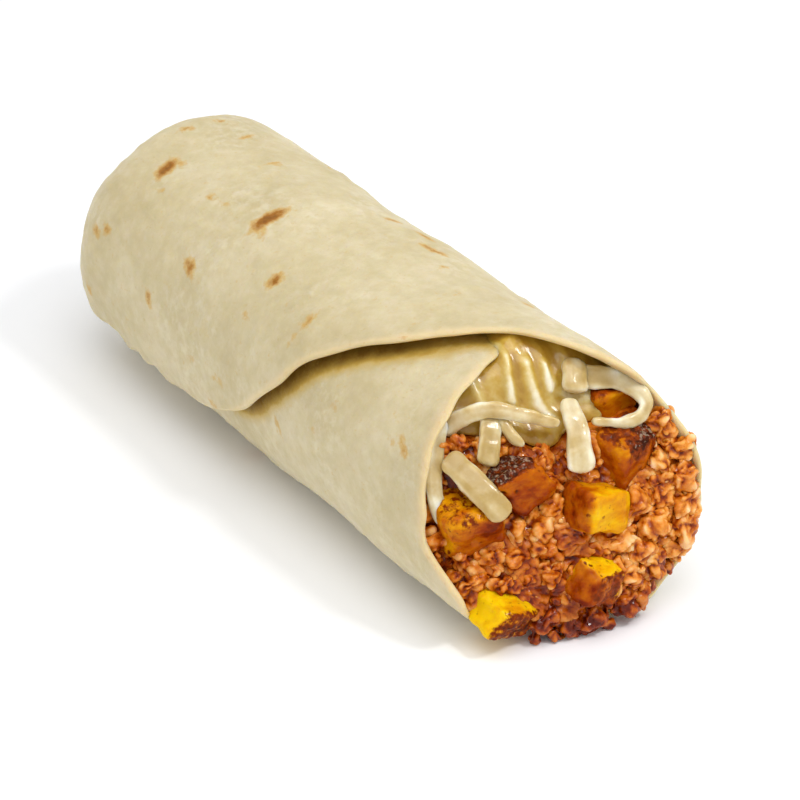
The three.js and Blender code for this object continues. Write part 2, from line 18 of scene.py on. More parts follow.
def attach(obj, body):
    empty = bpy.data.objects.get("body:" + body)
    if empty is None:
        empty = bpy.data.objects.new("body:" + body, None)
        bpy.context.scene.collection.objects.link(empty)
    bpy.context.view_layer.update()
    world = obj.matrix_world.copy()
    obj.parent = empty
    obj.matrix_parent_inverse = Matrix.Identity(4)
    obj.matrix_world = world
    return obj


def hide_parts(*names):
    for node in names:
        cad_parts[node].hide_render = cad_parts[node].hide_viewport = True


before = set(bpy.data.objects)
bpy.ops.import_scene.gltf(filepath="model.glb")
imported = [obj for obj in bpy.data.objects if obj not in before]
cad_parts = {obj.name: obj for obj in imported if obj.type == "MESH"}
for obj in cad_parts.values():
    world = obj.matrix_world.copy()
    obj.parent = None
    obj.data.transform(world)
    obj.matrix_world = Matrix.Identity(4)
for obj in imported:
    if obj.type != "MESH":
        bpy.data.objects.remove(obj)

log = logging.getLogger("burrito")

MM = 0.001
DEG = math.pi / 180
AXIS_HEIGHT = 24.1  # height of the roll's axis over the surface that it lies on
CENTRING = (-0.9, 0.65, 0.0)  # shift that puts the middle of the roll's box over the origin
NOISE_SHIFT = Vector((3.1, 7.7, 5.3))  # how far one seed shifts the soft noise
CELL_SHIFT = Vector((5.7, 2.3, 9.1))  # how far one seed shifts the cells
FRONT_SHARE = 0.55  # share of a filling's globe, from pole to pole, that makes its front face
STRAND_SIZE, LUMP_SIZE, KNOB_SIZE = 2.4, 3.0, 1.5  # sizes of what minced meat is made of

Array = np.ndarray
Draw = Callable[[], float]
Place = tuple[float, float, float]
Stops = Sequence[tuple[float, str]]
Socket = bpy.types.NodeSocket


# Small sums


def clamp01(value: Array) -> Array:
    """Holds a value between 0 and 1."""
    return np.clip(value, 0.0, 1.0)


def smooth(start: float, end: float, value: Array) -> Array:
    """Rises softly from 0 at start to 1 at end, or falls where end is below start."""
    t = clamp01((value - start) / (end - start))
    return t * t * (3 - 2 * t)


def bell(value: Array, middle: float, spread: float) -> Array:
    """A soft hump of height 1 about a middle."""
    return np.exp(-(((value - middle) / spread) ** 2))


def signed_power(value: Array, power: float) -> Array:
    """Raises the size of a value to a power and keeps its sign."""
    return np.sign(value) * np.abs(value) ** power


def unit(directions: Array) -> Array:
    """Gives directions a length of 1."""
    return directions / np.linalg.norm(directions, axis=-1, keepdims=True)


def between(places: Array, at: Array, stations: Sequence[float]) -> Array:
    """Places on a path, between those that it has at its own stations."""
    return np.stack([np.interp(at, stations, column) for column in places.T], axis=-1)


def seeded(seed: int) -> Draw:
    """A seeded random draw from 0 to 1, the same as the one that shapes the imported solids.

    Args:
        seed: Any whole number.

    Returns:
        A function that gives the next draw.
    """
    state = seed & 0xFFFFFFFF

    def times(a: int, b: int) -> int:
        """Multiplies within 32 bits."""
        return (a * b) & 0xFFFFFFFF

    def draw() -> float:
        """Takes the next draw.

        Returns:
            A number from 0 up to 1.
        """
        nonlocal state
        state = (state + 0x6D2B79F5) & 0xFFFFFFFF
        t = times(state ^ (state >> 15), state | 1)
        t ^= (t + times(t ^ (t >> 7), t | 61)) & 0xFFFFFFFF
        return ((t ^ (t >> 14)) & 0xFFFFFFFF) / 2**32

    return draw


def soft_noise(points: Array, size: float, seed: float = 0.0) -> Array:
    """Smooth noise, about -1 to 1.

    Args:
        points: Places to read it at, one row each.
        size: Size of its lumps.
        seed: Shifts the pattern.

    Returns:
        One value for each point.
    """
    shift = NOISE_SHIFT * seed
    return np.array([noise.noise(Vector(p) / size + shift) for p in points])


def uneven(points: Array, *lumps: Place) -> Array:
    """Adds up smooth noise, from the height, the size and the seed of each kind of lump."""
    return sum(height * soft_noise(points, size, seed) for height, size, seed in lumps)


def warp(points: Array, size: float, seed: int) -> Array:
    """Smooth noise along each axis, to bend a pattern by."""
    return np.stack([soft_noise(points, size, seed + axis) for axis in range(3)], axis=-1)


def cells(points: Array, size: float, seed: float) -> tuple[Array, Array]:
    """How far each point is from the two nearest middles of cells that fill space.

    Args:
        points: Places to read them at, one row each.
        size: Size of a cell.
        seed: Shifts the pattern.

    Returns:
        The shares of a cell to the nearest middle and to the next.
    """
    shift = CELL_SHIFT * seed
    return np.array([noise.voronoi(Vector(p) / size + shift)[0][:2] for p in points]).T


def bumps(points: Array, size: float, seed: float) -> Array:
    """Rounded grains side by side, 1 on a grain's crest and about 0 in the creases between."""
    nearest, _ = cells(points, size, seed)
    return clamp01(1 - (nearest / 0.72) ** 2)


def creases(points: Array, size: float, seed: float) -> Array:
    """Cells side by side, 1 on a cell's top and 0 along the creases where two of them meet."""
    nearest, following = cells(points, size, seed)
    return np.sqrt(clamp01((following - nearest) / 0.62))


# The rolled surface


@dataclass(frozen=True)
class Roll:
    """The surface that the tortilla is rolled on, a tapered superellipse with a drawn-in closed end."""

    closed_end: float = -80.4
    rim: float = 75.7
    half_width: float = 28.0
    half_height: float = 26.9
    squareness: float = 2.15
    taper: float = 0.97
    end_length: float = 17.5
    end_unevenness: float = 4.0
    end_toward: float = 140.0
    bluntness: float = 2.3
    dimple: float = 4.5
    pleats: int = 7
    pleat_depth: float = 4.4
    sheet: float = 1.9
    gap: float = 0.3
    wrap_start: float = 78.0
    wrap_finish: float = 568.0
    wrap_level: float = 320.0
    # Height, number round the roll, length and phase of each swell
    swells: Sequence[tuple[float, int, float, float]] = (
        (0.32, 2, 19, 0), (0.24, 3, -13, 1.1), (0.16, 5, 8, 2.3),
    )
    # How far each step moves the front edge, and the wrap angles between which it does
    edge_steps: Sequence[Place] = ((14.5, 178, 210), (-10, 378, 402), (-20, 415, 458), (-36, 440, 540))
    edge_beside: Sequence[float] = (26.5, 12, 93, 80, 0.8, 0.4)  # setback, gain, start, over, bend, slant
    edge_dip: Place = (-11, 242, 34)  # by, at and spread, where the filling hangs over the rim
    edge_sweep: Sequence[float] = (-34, 518, 50, 1.9)  # by, start, over and bend of the flap's edge
    edge_corner: Place = (-7, 548, 4)  # by, start and bend of the flap's corner
    roof_arch: Place = (2.3, 434, 38)  # height, wrap angle and spread of the arch over the opening
    roof_along: tuple[float, float] = (18, 66)
    roof_rises: tuple[float, float] = (380, 400)
    lift: float = 1.1  # how far the flap's edge stands off
    lift_reach: tuple[float, float] = (30, 6)
    lift_rises: tuple[float, float] = (440, 480)
    lift_falls: tuple[float, float] = (575, 520)
    face_reach: float = 71.3
    face_lean: float = 0.33
    face_slope: float = 0.5
    face_crown: float = 0.004
    face_drop: float = 1.5
    brim: float = 5.6  # how far the beef stands out beside the far rim
    brim_toward: tuple[float, float] = (0.98, 0.1)
    fall_away: float = 8.0  # how far it falls back at the far bottom
    fall_toward: tuple[float, float] = (0.67, -0.74)

    def wrap_rise(self, wrap: Array) -> Array:
        """How far the sheet's outside stands out of the section's outline."""
        return (self.sheet + self.gap) * (wrap - self.wrap_level) / 360

    def rounded_length(self, wrap: Array) -> Array:
        """How much of the length rounds over into the closed end."""
        return self.end_length + self.end_unevenness * np.cos(2 * (wrap - self.end_toward) * DEG)

    def point(self, wrap: Array, x: Array, rise: Array, floor: Array) -> Array:
        """Points on the roll.

        Args:
            wrap: Wrap angle, counted from +Y over the top.
            x: Place along the axis.
            rise: Height off the section's outline.
            floor: Lowest height over the resting surface that a point may take.

        Returns:
            One row of three coordinates for each point.
        """
        turn = wrap * DEG
        share = clamp01((x - self.closed_end + rise) / (self.rounded_length(wrap) + rise))
        rounding = (1 - (1 - share) ** self.bluntness) ** (1 / self.bluntness)
        taper = self.taper + (1 - self.taper) * clamp01((x - self.closed_end) / (self.rim - self.closed_end))
        swell = sum(h * np.sin(lobes * turn + x / length + phase) for h, lobes, length, phase in self.swells)
        out = rise + swell * rounding
        fold = np.sin(self.pleats * turn + np.sin(2 * turn)) * rounding * (1 - rounding)
        drawn_in = self.dimple * (1 - rounding) ** 2 + self.pleat_depth * fold
        power = 2 / self.squareness
        y = (self.half_width * taper + out) * rounding * signed_power(np.cos(turn), power)
        z = (self.half_height * taper + out) * rounding * signed_power(np.sin(turn), power)
        return np.stack([x + drawn_in, y, np.maximum(floor, z + AXIS_HEIGHT)], axis=-1)

    def front_edge(self, wrap: Array) -> Array:
        """Where the sheet's front edge runs.

        Args:
            wrap: Wrap angle.

        Returns:
            Its place along the axis.
        """
        setback, gain, start, over, bend, slant = self.edge_beside
        beside = gain * clamp01((wrap - start) / over) ** bend - setback - slant * np.maximum(0, start - wrap)
        steps = sum(by * smooth(first, last, wrap) for by, first, last in self.edge_steps)
        dip, dip_at, dip_spread = self.edge_dip
        sweep, start, over, bend = self.edge_sweep
        swept = sweep * clamp01((wrap - start) / over) ** bend
        corner, start, bend = self.edge_corner
        cornered = corner * clamp01((wrap - start) / (self.wrap_finish - start)) ** bend
        return self.rim + beside + steps + dip * bell(wrap, dip_at, dip_spread) + swept + cornered

    def flap_lift(self, wrap: Array, x: Array) -> Array:
        """How far the flap is lifted off the layer below.

        Args:
            wrap: Wrap angle.
            x: Place along the axis.

        Returns:
            The height over its place when it lies flat.
        """
        height, at, spread = self.roof_arch
        roof = height * smooth(*self.roof_along, x) * bell(wrap, at, spread) * smooth(*self.roof_rises, wrap)
        beside = smooth(*self.lift_rises, wrap) * smooth(*self.lift_falls, wrap)
        return roof + self.lift * smooth(*self.lift_reach, self.front_edge(wrap) - x) * beside

    def filling_rise(self, angle: Array) -> Array:
        """How far the filling's side lies off the section's outline.

        Args:
            angle: Angle round the roll.

        Returns:
            How far out it lies, less than 0 for inside.
        """
        low, high = self.wrap_rise(self.wrap_start), self.wrap_rise(360)
        seam = high + (low - high) * angle / self.wrap_start
        return np.where(angle >= self.wrap_start, self.wrap_rise(angle), seam) - self.sheet - self.gap

    def filling_side(self, angle: Array, x: Array, slack: Array) -> Array:
        """A point on the filling's side, inside the tortilla."""
        return self.point(angle, x, self.filling_rise(angle) - slack, self.sheet + self.gap)

    def face(self, y: Array, height: Array) -> Array:
        """The front face of the filling, a leaning dome.

        Args:
            y: Place across the roll.
            height: Height over the axis.

        Returns:
            How far along the axis the face reaches there.
        """
        spread = (y / self.half_width) ** 2 + (height / self.half_height) ** 2
        plane = self.face_reach + self.face_lean * y - self.face_slope * height
        return plane - self.face_crown * (y * y + height * height) - self.face_drop * spread**4

    def beef_face(self, y: Array, height: Array) -> Array:
        """The beef's face, out to the crests of its crumbs.

        Args:
            y: Place across the roll.
            height: Height over the axis.

        Returns:
            How far along the axis the face reaches there.
        """
        toward_rim, toward_bottom = (
            np.maximum(0, (across * y + up * height) / self.half_width)
            for across, up in (self.brim_toward, self.fall_toward)
        )
        return self.face(y, height) + self.brim * toward_rim**4 - self.fall_away * toward_bottom**3


ROLL = Roll()
MOUTH = ROLL.rim - 22  # where the roll's section gives the filling's face its outline
DEEPEST = ROLL.closed_end + ROLL.dimple + ROLL.sheet  # where the drawn-in end leaves off inside the roll


# Meshes


class Draft:
    """A mesh under way, in millimetres, with painted attributes."""

    def __init__(self, shape: bmesh.types.BMesh) -> None:
        """Takes over a bmesh and frees it.

        Args:
            shape: The bmesh.
        """
        self.mesh = bpy.data.meshes.new("draft")
        shape.to_mesh(self.mesh)
        shape.free()

    @property
    def points(self) -> Array:
        """The places of the mesh's vertices.

        Returns:
            One row of three coordinates for each vertex.
        """
        flat = np.empty(len(self.mesh.vertices) * 3)
        self.mesh.vertices.foreach_get("co", flat)
        return flat.reshape(-1, 3)

    @points.setter
    def points(self, places: Array) -> None:
        """Moves the mesh's vertices to new places."""
        self.mesh.vertices.foreach_set("co", np.ascontiguousarray(places).ravel())

    def normals(self) -> Array:
        """The directions that the mesh's vertices face.

        Returns:
            One row of three parts for each vertex, of length 1.
        """
        self.mesh.update()
        flat = np.empty(len(self.mesh.vertices) * 3, dtype=np.float32)
        self.mesh.vertex_normals.foreach_get("vector", flat)
        return flat.reshape(-1, 3)

    def paint(self, **layers: Array) -> None:
        """Stores numbers on the mesh for a material to read.

        Args:
            **layers: One number for each vertex, under each name.
        """
        for name, values in layers.items():
            layer = self.mesh.attributes.new(name, "FLOAT", "POINT")
            layer.data.foreach_set("value", np.ascontiguousarray(values, dtype=np.float32))

    def turn_outwards(self) -> None:
        """Makes the faces of each closed shell point outwards."""
        shape = bmesh.new()
        shape.from_mesh(self.mesh)
        bmesh.ops.recalc_face_normals(shape, faces=shape.faces)
        shape.to_mesh(self.mesh)
        shape.free()

    def finish(self, name: str, material: bpy.types.Material, slot: str, node: str) -> None:
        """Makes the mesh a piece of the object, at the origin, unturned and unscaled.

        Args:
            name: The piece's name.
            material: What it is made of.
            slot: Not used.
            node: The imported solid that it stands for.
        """
        self.turn_outwards()
        self.points = (self.points + CENTRING) * MM
        self.mesh.name = name
        self.mesh.shade_smooth()
        self.mesh.materials.append(material)
        self.mesh.update()
        piece = show(name, self.mesh)
        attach(piece, "root")
        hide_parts(node)
        log.info("%s: %d vertices", name, len(self.mesh.vertices))


def globe(around: int, along: int) -> tuple[Draft, Array, Array]:
    """A unit ball of rings, its poles on the Z axis, to be mapped on a long or flat body.

    Args:
        around: Number of points on a ring.
        along: Number of steps from pole to pole.

    Returns:
        The ball, and each point's angle round Z in degrees and its share of the way between the poles.
    """
    shape = bmesh.new()
    bmesh.ops.create_uvsphere(shape, u_segments=around, v_segments=along, radius=1)
    draft = Draft(shape)
    x, y, z = draft.points.T
    return draft, np.arctan2(y, x) / DEG % 360, np.arccos(np.clip(z, -1, 1)) / math.pi


def front_and_back(polar: Array) -> tuple[Array, Array]:
    """How far out each point of a filling's globe lies on its front face, and how far back behind it."""
    return clamp01(polar / FRONT_SHARE), clamp01((polar - FRONT_SHARE) / (1 - FRONT_SHARE))


def rounded_end(back: Array, start: float) -> Array:
    """Draws the far end of a filling in to a round close, from a share of its length on."""
    return np.sqrt(clamp01(1 - clamp01((back - start) / (1 - start)) ** 2))


def rounded_cube(size: float, cuts: int, squareness: float) -> tuple[Draft, Array]:
    """A cube with its middle at the origin, and the ball with soft corners that it is rounded off to.

    Args:
        size: Length of its sides.
        cuts: How many cuts each side has.
        squareness: 2 for a ball, and more for a form nearer a cube.

    Returns:
        The cube's mesh, and where its vertices lie once it is rounded off.
    """
    shape = bmesh.new()
    bmesh.ops.create_cube(shape, size=size)
    bmesh.ops.subdivide_edges(shape, edges=shape.edges, cuts=cuts, use_grid_fill=True)
    draft = Draft(shape)
    places = draft.points
    reach = (np.abs(places) ** squareness).sum(axis=1) ** (1 / squareness)
    return draft, 0.5 * size * places / reach[:, None]


def show(name: str, data: bpy.types.ID) -> bpy.types.Object:
    """Puts something into the scene.

    Args:
        name: Its name.
        data: Its mesh, its camera or its lamp.

    Returns:
        Its object.
    """
    shown = bpy.data.objects.new(name, data)
    bpy.context.scene.collection.objects.link(shown)
    return shown


# Finishes


def linear(hex_colour: str) -> tuple[float, float, float, float]:
    """Turns an sRGB colour to linear light.

    Args:
        hex_colour: The colour, such as #E6DFC8.

    Returns:
        Its red, green, blue and alpha.
    """
    parts = [int(hex_colour[i : i + 2], 16) / 255 for i in (1, 3, 5)]
    red, green, blue = [c / 12.92 if c <= 0.04045 else ((c + 0.055) / 1.055) ** 2.4 for c in parts]
    return red, green, blue, 1.0


def per(size: float) -> float:
    """A pattern's scale from the real size of its features, in millimetres."""
    return 1 / (size * MM)


def add_node(
    tree: bpy.types.NodeTree,
    kind: str,
    inputs: dict | None = None,
    stops: Stops = (),
    **settings: object,
) -> bpy.types.Node:
    """Adds a node with its settings and links.

    Args:
        tree: The material's node tree.
        kind: The node's type.
        inputs: What goes into its sockets, by name or number, as values or as sockets to link.
        stops: The places and colours of a colour ramp.
        **settings: The node's own settings.

    Returns:
        The node.
    """
    node = tree.nodes.new(kind)
    for name, value in settings.items():
        setattr(node, name, value)
    for number, (place, colour) in enumerate(stops):
        elements = node.color_ramp.elements
        stop = elements[number] if number < len(elements) else elements.new(place)
        stop.position = place
        stop.color = linear(colour)
    for socket, value in (inputs or {}).items():
        if isinstance(value, Socket):
            tree.links.new(value, node.inputs[socket])
        else:
            node.inputs[socket].default_value = value
    return node


@dataclass(frozen=True)
class Gloss:
    """How a surface shines and how far light goes into it, with lengths in millimetres."""

    roughness: float
    specular: float
    coat: float = 0.0
    coat_roughness: float = 0.2
    under: float = 0.0
    under_scale: float = 1.0
    under_radius: Place = (1.0, 0.6, 0.3)
    ior: float = 1.45


class Finish:
    """A material under way: its node tree, its place on the piece and its shader."""

    def __init__(self, name: str, gloss: Gloss) -> None:
        """Starts a material.

        Args:
            name: The real material's name.
            gloss: Its shine.
        """
        self.material = bpy.data.materials.new(name)
        self.material.use_nodes = True
        self.tree = self.material.node_tree
        self.shader = self.tree.nodes["Principled BSDF"]
        self.place = self.add("ShaderNodeTexCoord", output="Object")
        settings = {
            "Roughness": gloss.roughness,
            "IOR": gloss.ior,
            "Specular IOR Level": gloss.specular,
            "Coat Weight": gloss.coat,
            "Coat Roughness": gloss.coat_roughness,
            "Subsurface Weight": gloss.under,
            "Subsurface Scale": gloss.under_scale * MM,
            "Subsurface Radius": gloss.under_radius,
        }
        for socket, value in settings.items():
            self.shader.inputs[socket].default_value = value

    def add(self, kind: str, inputs: dict | None = None, output: int | str = 0, **settings: object) -> Socket:
        """Adds a node to this material and gives one of its outputs."""
        return add_node(self.tree, kind, inputs, **settings).outputs[output]

    def grain(self, size: float, detail: float, stretch: Place = (1, 1, 1)) -> Socket:
        """The natural unevenness of a food's surface.

        Args:
            size: Real size of its features in millimetres.
            detail: How much finer detail it has.
            stretch: Scale along each axis, less than 1 for longer features.

        Returns:
            A value from 0 to 1.
        """
        place = self.add("ShaderNodeMapping", {"Vector": self.place, "Scale": stretch})
        settings = {"Vector": place, "Scale": per(size), "Detail": detail, "Roughness": 0.6}
        return self.add("ShaderNodeTexNoise", settings)

    def ragged(self, name: str, strength: float, grain: Socket) -> Socket:
        """What is painted on the piece, with borders that a grain makes ragged.

        Args:
            name: The name that it is painted under.
            strength: How ragged the borders are.
            grain: The grain.

        Returns:
            The painted value with the grain on it.
        """
        off = self.add("ShaderNodeMath", {0: grain, 1: 0.5}, operation="SUBTRACT")
        plain = self.add("ShaderNodeAttribute", output="Fac", attribute_name=name)
        return self.add("ShaderNodeMath", {0: off, 1: strength, 2: plain}, operation="MULTIPLY_ADD")

    def over(self, base: Socket, colour: str, value: Socket, start: float, end: float,
             share: Socket | float = 1.0) -> Socket:
        """Lays a colour over the base where a value rises.

        Args:
            base: The colours below.
            colour: The colour.
            value: The value.
            start: Where the colour starts to show.
            end: Where it is complete.
            share: How much of the base it then hides.

        Returns:
            The colours with it.
        """
        rise = {"Value": value, "From Min": start, "From Max": end, "To Max": share}
        cover = self.add("ShaderNodeMapRange", rise)
        return self.add("ShaderNodeMix", {0: cover, 6: base, 7: linear(colour)}, 2, data_type="RGBA")

    def relief(self, *layers: tuple[Socket, float]) -> Socket:
        """Fine relief over coarse.

        Args:
            *layers: Each one's grain and its real depth in millimetres, the coarsest first.

        Returns:
            The surface's direction.
        """
        normal = None
        for height, depth in layers:
            inputs = {"Height": height, "Distance": depth * MM, "Strength": 1.0}
            if normal is not None:
                inputs["Normal"] = normal
            normal = self.add("ShaderNodeBump", inputs)
        return normal

    def dress(self, colour: Socket, normal: Socket | None = None) -> bpy.types.Material:
        """Links the colours and the relief to the shader.

        Args:
            colour: The colours.
            normal: The relief, where there is one.

        Returns:
            The finished material.
        """
        self.tree.links.new(colour, self.shader.inputs["Base Color"])
        if normal is not None:
            self.tree.links.new(normal, self.shader.inputs["Normal"])
        return self.material


@dataclass(frozen=True)
class GriddledTortilla:
    """Soft wheat tortilla off a dry griddle: matte, floury and cream, with small toasted spots.

    The mottling is steam-softened dough, the specks are flour and bran, and the toasted spots are
    where a blister touched the iron. Oil from the filling turns it golden at the opening, and a painted
    shadow darkens it to olive brown beside the flap's edge.
    """

    gloss: Gloss = Gloss(0.62, 0.3, under=0.8, under_scale=1.2, under_radius=(2.2, 1.6, 0.7))
    dough: Stops = ((0.3, "#B8A87E"), (0.5, "#C7B992"), (0.7, "#D4C7A5"))
    mottling: Stops = ((0.32, "#BEAF86"), (0.5, "#CDBF9A"), (0.7, "#DDD2B6"))
    bran: str = "#B99A5E"
    flour: str = "#E6DFC8"
    oiled: str = "#C2A149"
    # Olive brown of oil in the painted shadow beside the flap's edge
    soaked: str = "#7D5C16"
    rim: str = "#DAC49A"
    dried: str = "#C08C4C"
    toasted: str = "#C79F55"
    browned: str = "#A0691F"
    scorched: str = "#74450F"

    def material(self) -> bpy.types.Material:
        """Makes the material.

        Returns:
            The material, which reads golden, edge and toast.
        """
        finish = Finish("griddled_flour_tortilla", self.gloss)
        dough = finish.add("ShaderNodeValToRGB", {"Fac": finish.grain(24, 4)}, stops=self.dough)
        mottling = finish.add("ShaderNodeValToRGB", {"Fac": finish.grain(3.2, 5)}, stops=self.mottling)
        base = finish.add("ShaderNodeMix", {0: 0.35, 6: dough, 7: mottling}, 2, data_type="RGBA")
        base = finish.over(base, self.bran, finish.grain(0.9, 2), 0.66, 0.74, 0.28)
        patches = {"Value": finish.grain(16, 3), "From Min": 0.48, "From Max": 0.62, "To Max": 0.27}
        flour = finish.add("ShaderNodeMapRange", patches)
        base = finish.over(base, self.flour, finish.grain(2.2, 5), 0.46, 0.64, flour)
        oil = finish.ragged("golden", 0.45, finish.grain(2.6, 4))
        base = finish.over(base, self.oiled, oil, 0.06, 0.6)
        # The darkest olive brown is a painted shadow beside the flap's edge, laid over the oil's gold
        base = finish.over(base, self.soaked, oil, 0.45, 1)
        edge = finish.add("ShaderNodeAttribute", output="Fac", attribute_name="edge")
        base = finish.over(base, self.rim, edge, 0, 1, 0.6)
        dry = finish.add("ShaderNodeMath", {0: edge, 1: finish.grain(5.5, 5)}, operation="MULTIPLY")
        base = finish.over(base, self.dried, dry, 0.56, 0.72)
        toast = finish.ragged("toast", 0.9, finish.grain(1.3, 4))
        base = finish.over(base, self.toasted, toast, 0.1, 0.4, 0.8)
        base = finish.over(base, self.browned, toast, 0.4, 0.78)
        base = finish.over(base, self.scorched, toast, 0.78, 1, 0.6)
        return finish.dress(base, finish.relief((finish.grain(2.8, 4), 0.32), (finish.grain(0.7, 3), 0.06)))


@dataclass(frozen=True)
class BraisedBeef:
    """Ground beef in a thin red sauce: moist orange-brown grains, with painted light on their crests and
    painted shade in the creases between.
    """

    gloss: Gloss = Gloss(0.42, 0.04, 0.5, 0.08, under=0.26, under_scale=0.9, under_radius=(1.6, 0.7, 0.1))
    # Colours from the painted shade in the creases to the painted light on the crests
    meat: Stops = ((0, "#732605"), (0.2, "#A84C06"), (0.42, "#DC8624"), (0.66, "#F2AC58"), (0.95, "#FFD8A6"))
    tones: Stops = ((0, "#D4AC78"), (0.45, "#EED6AC"), (1, "#FFFFFF"))

    def material(self) -> bpy.types.Material:
        """Makes the material.

        Returns:
            The material, which reads crest and tone.
        """
        finish = Finish("braised_ground_beef", self.gloss)
        # Painted light on the crests and painted shade in the creases between them
        crest = finish.ragged("crest", 0.7, finish.grain(1.6, 3))
        meat = finish.add("ShaderNodeValToRGB", {"Fac": crest}, stops=self.meat)
        # Each crumb's own tone, with painted light towards the roof's side and painted shade at the bottom
        # over it
        tone = finish.add("ShaderNodeAttribute", output="Fac", attribute_name="tone")
        tone = finish.add("ShaderNodeValToRGB", {"Fac": tone}, stops=self.tones)
        settings = {"data_type": "RGBA", "blend_type": "MULTIPLY"}
        base = finish.add("ShaderNodeMix", {0: 1.0, 6: meat, 7: tone}, 2, **settings)
        return finish.dress(base, finish.relief((finish.grain(1.1, 3), 0.5), (finish.grain(0.45, 2), 0.08)))


class CheeseState(Enum):
    """How far a piece of cheese has melted."""

    SHRED = "soft_white_cheese_shred"
    MELTED = "melted_white_cheese"


@dataclass(frozen=True)
class WhiteCheese:
    """Mild white cheese: it glows from inside and shines with its own fat, more golden where melted."""

    state: CheeseState
    gloss: Gloss = Gloss(0.36, 0.35, 0.6, 0.13, under=0.85, under_scale=2.4, under_radius=(1.0, 0.85, 0.55))
    shredded: Stops = ((0, "#B69A5A"), (0.35, "#C7B07B"), (0.7, "#D8CAA4"), (1, "#ECE5D0"))
    melted: Stops = ((0, "#A87F1E"), (0.35, "#C29E3C"), (0.6, "#D0B86C"), (1, "#ECE4CA"))

    def material(self) -> bpy.types.Material:
        """Makes the material.

        Returns:
            The material, which reads pale.
        """
        finish = Finish(self.state.value, self.gloss)
        # How milky the cheese is, with painted sheen and highlights laid in
        pale = finish.ragged("pale", 1, finish.grain(3.4, 3))
        stops = self.melted if self.state is CheeseState.MELTED else self.shredded
        base = finish.add("ShaderNodeValToRGB", {"Fac": pale}, stops=stops)
        return finish.dress(base, finish.relief((finish.grain(3, 2), 0.2), (finish.grain(1.1, 3), 0.07)))


@dataclass(frozen=True)
class FriedPlantain:
    """Ripe plantain fried in oil: yellow flesh, caramel where the sugar browned, black where it burnt.

    The oil leaves a thin gloss, and the burnt crust is rough with small bright glints painted into its
    colour.
    """

    gloss: Gloss = Gloss(0.42, 0.03, 0.14, 0.09, under=0.25, under_scale=1.4, under_radius=(2.0, 0.8, 0.05))
    flesh: Stops = ((0, "#EDC20A"), (0.3, "#D99406"), (0.6, "#B86003"), (0.85, "#953A02"), (1, "#6E1E01"))
    caramel: str = "#7A2F05"
    burnt: str = "#301206"
    glint: str = "#A8937C"

    def material(self) -> bpy.types.Material:
        """Makes the material.

        Returns:
            The material, which reads ripe and char.
        """
        finish = Finish("fried_ripe_plantain", self.gloss)
        ripe = finish.ragged("ripe", 1, finish.grain(2.2, 4, (1, 0.45, 1)))
        base = finish.add("ShaderNodeValToRGB", {"Fac": ripe}, stops=self.flesh)
        crust = finish.ragged("char", 2.2, finish.grain(1.3, 5))
        base = finish.over(base, self.caramel, crust, 0.25, 0.55)
        base = finish.over(base, self.burnt, crust, 0.62, 1, 0.9)
        # Painted glints: pale specks of highlight on the burnt crust
        char = finish.add("ShaderNodeAttribute", output="Fac", attribute_name="char")
        glints = finish.add("ShaderNodeMath", {0: char, 1: finish.grain(0.9, 3)}, operation="MULTIPLY")
        base = finish.over(base, self.glint, glints, 0.47, 0.56, 0.65)
        skin = finish.relief((finish.grain(1.8, 4, (1, 0.5, 1)), 0.2), (finish.grain(0.5, 3), 0.07))
        return finish.dress(base, skin)


# The tortilla


@dataclass(frozen=True)
class Spot:
    """A toasted spot: its place on the roll, its length and width, its turn off the axis, its darkness."""

    wrap: float
    x: float
    length: float
    width: float
    turn: float
    dark: float


SPOTS = (
    (469, -20.3, 7.5, 2.4, -83, 1.25), (478, -55.0, 5.5, 2.2, 71, 1.1), (472, -53.8, 2.8, 1.2, -54, 0.6),
    (495, 12.5, 4.9, 1.8, -90, 0.85), (501, 12.3, 4.6, 1.6, -73, 0.55), (495, 16.1, 3.0, 1.4, -29, 0.45),
    (489, -4.1, 4.0, 1.8, -70, 0.95), (507, -28.4, 4.7, 1.8, 26, 0.85), (531, -38.7, 3.5, 1.2, 55, 0.75),
    (429, 7.6, 5.3, 1.2, -27, 0.95), (423, 1.1, 4.9, 1.1, -14, 0.8), (427, -8.2, 3.3, 1.2, -58, 0.85),
    (434, 15.7, 1.6, 1.1, -50, 0.6), (520, -61.8, 3.2, 1.4, 13, 0.7), (516, -58.0, 2.0, 1.4, -67, 0.75),
    (549, -65.1, 2.7, 1.4, 64, 0.7), (456, -64.8, 3.0, 1.2, -54, 0.8), (442, -64.6, 2.2, 1.1, -60, 0.8),
    (440, -54.7, 3.1, 1.2, -85, 0.8), (444, -40.1, 3.2, 1.2, -76, 0.65), (471, 32.9, 3.3, 1.2, -62, 0.7),
    (184, 10.1, 3.9, 1.2, 61, 0.5), (154, 51.8, 2.4, 1.2, 19, 0.65), (150, 50.2, 2.0, 1.1, 26, 0.5),
    (153, 47.8, 1.8, 1.0, 0, 0.4), (507, 11.7, 2.0, 1.4, 30, 0.55), (513, 9.9, 2.4, 1.2, 46, 0.4),
    (477, -37.3, 2.6, 1.4, 0, 0.5), (476, -32.8, 2.6, 1.4, 0, 0.35), (487, -50.0, 2.1, 1.2, 0, 0.35),
    (472, -52.9, 2.0, 1.2, 0, 0.35), (541, -9.7, 3.8, 1.6, 0, 0.35), (542, -21.4, 3.6, 1.4, -12, 0.35),
    (509, -5.2, 2.8, 1.2, 15, 0.4), (157, 28.7, 2.0, 1.4, 28, 0.35), (173, 24.0, 1.8, 1.2, 0, 0.35),
    (476, -17.4, 2.7, 1.4, 15, 0.5), (555, -13.2, 3.2, 1.6, 0, 0.5), (445, 28.0, 2.5, 1.2, 0, 0.35),
)
BACK_SPOTS = 34
BACK_SPOT_SEED = 64


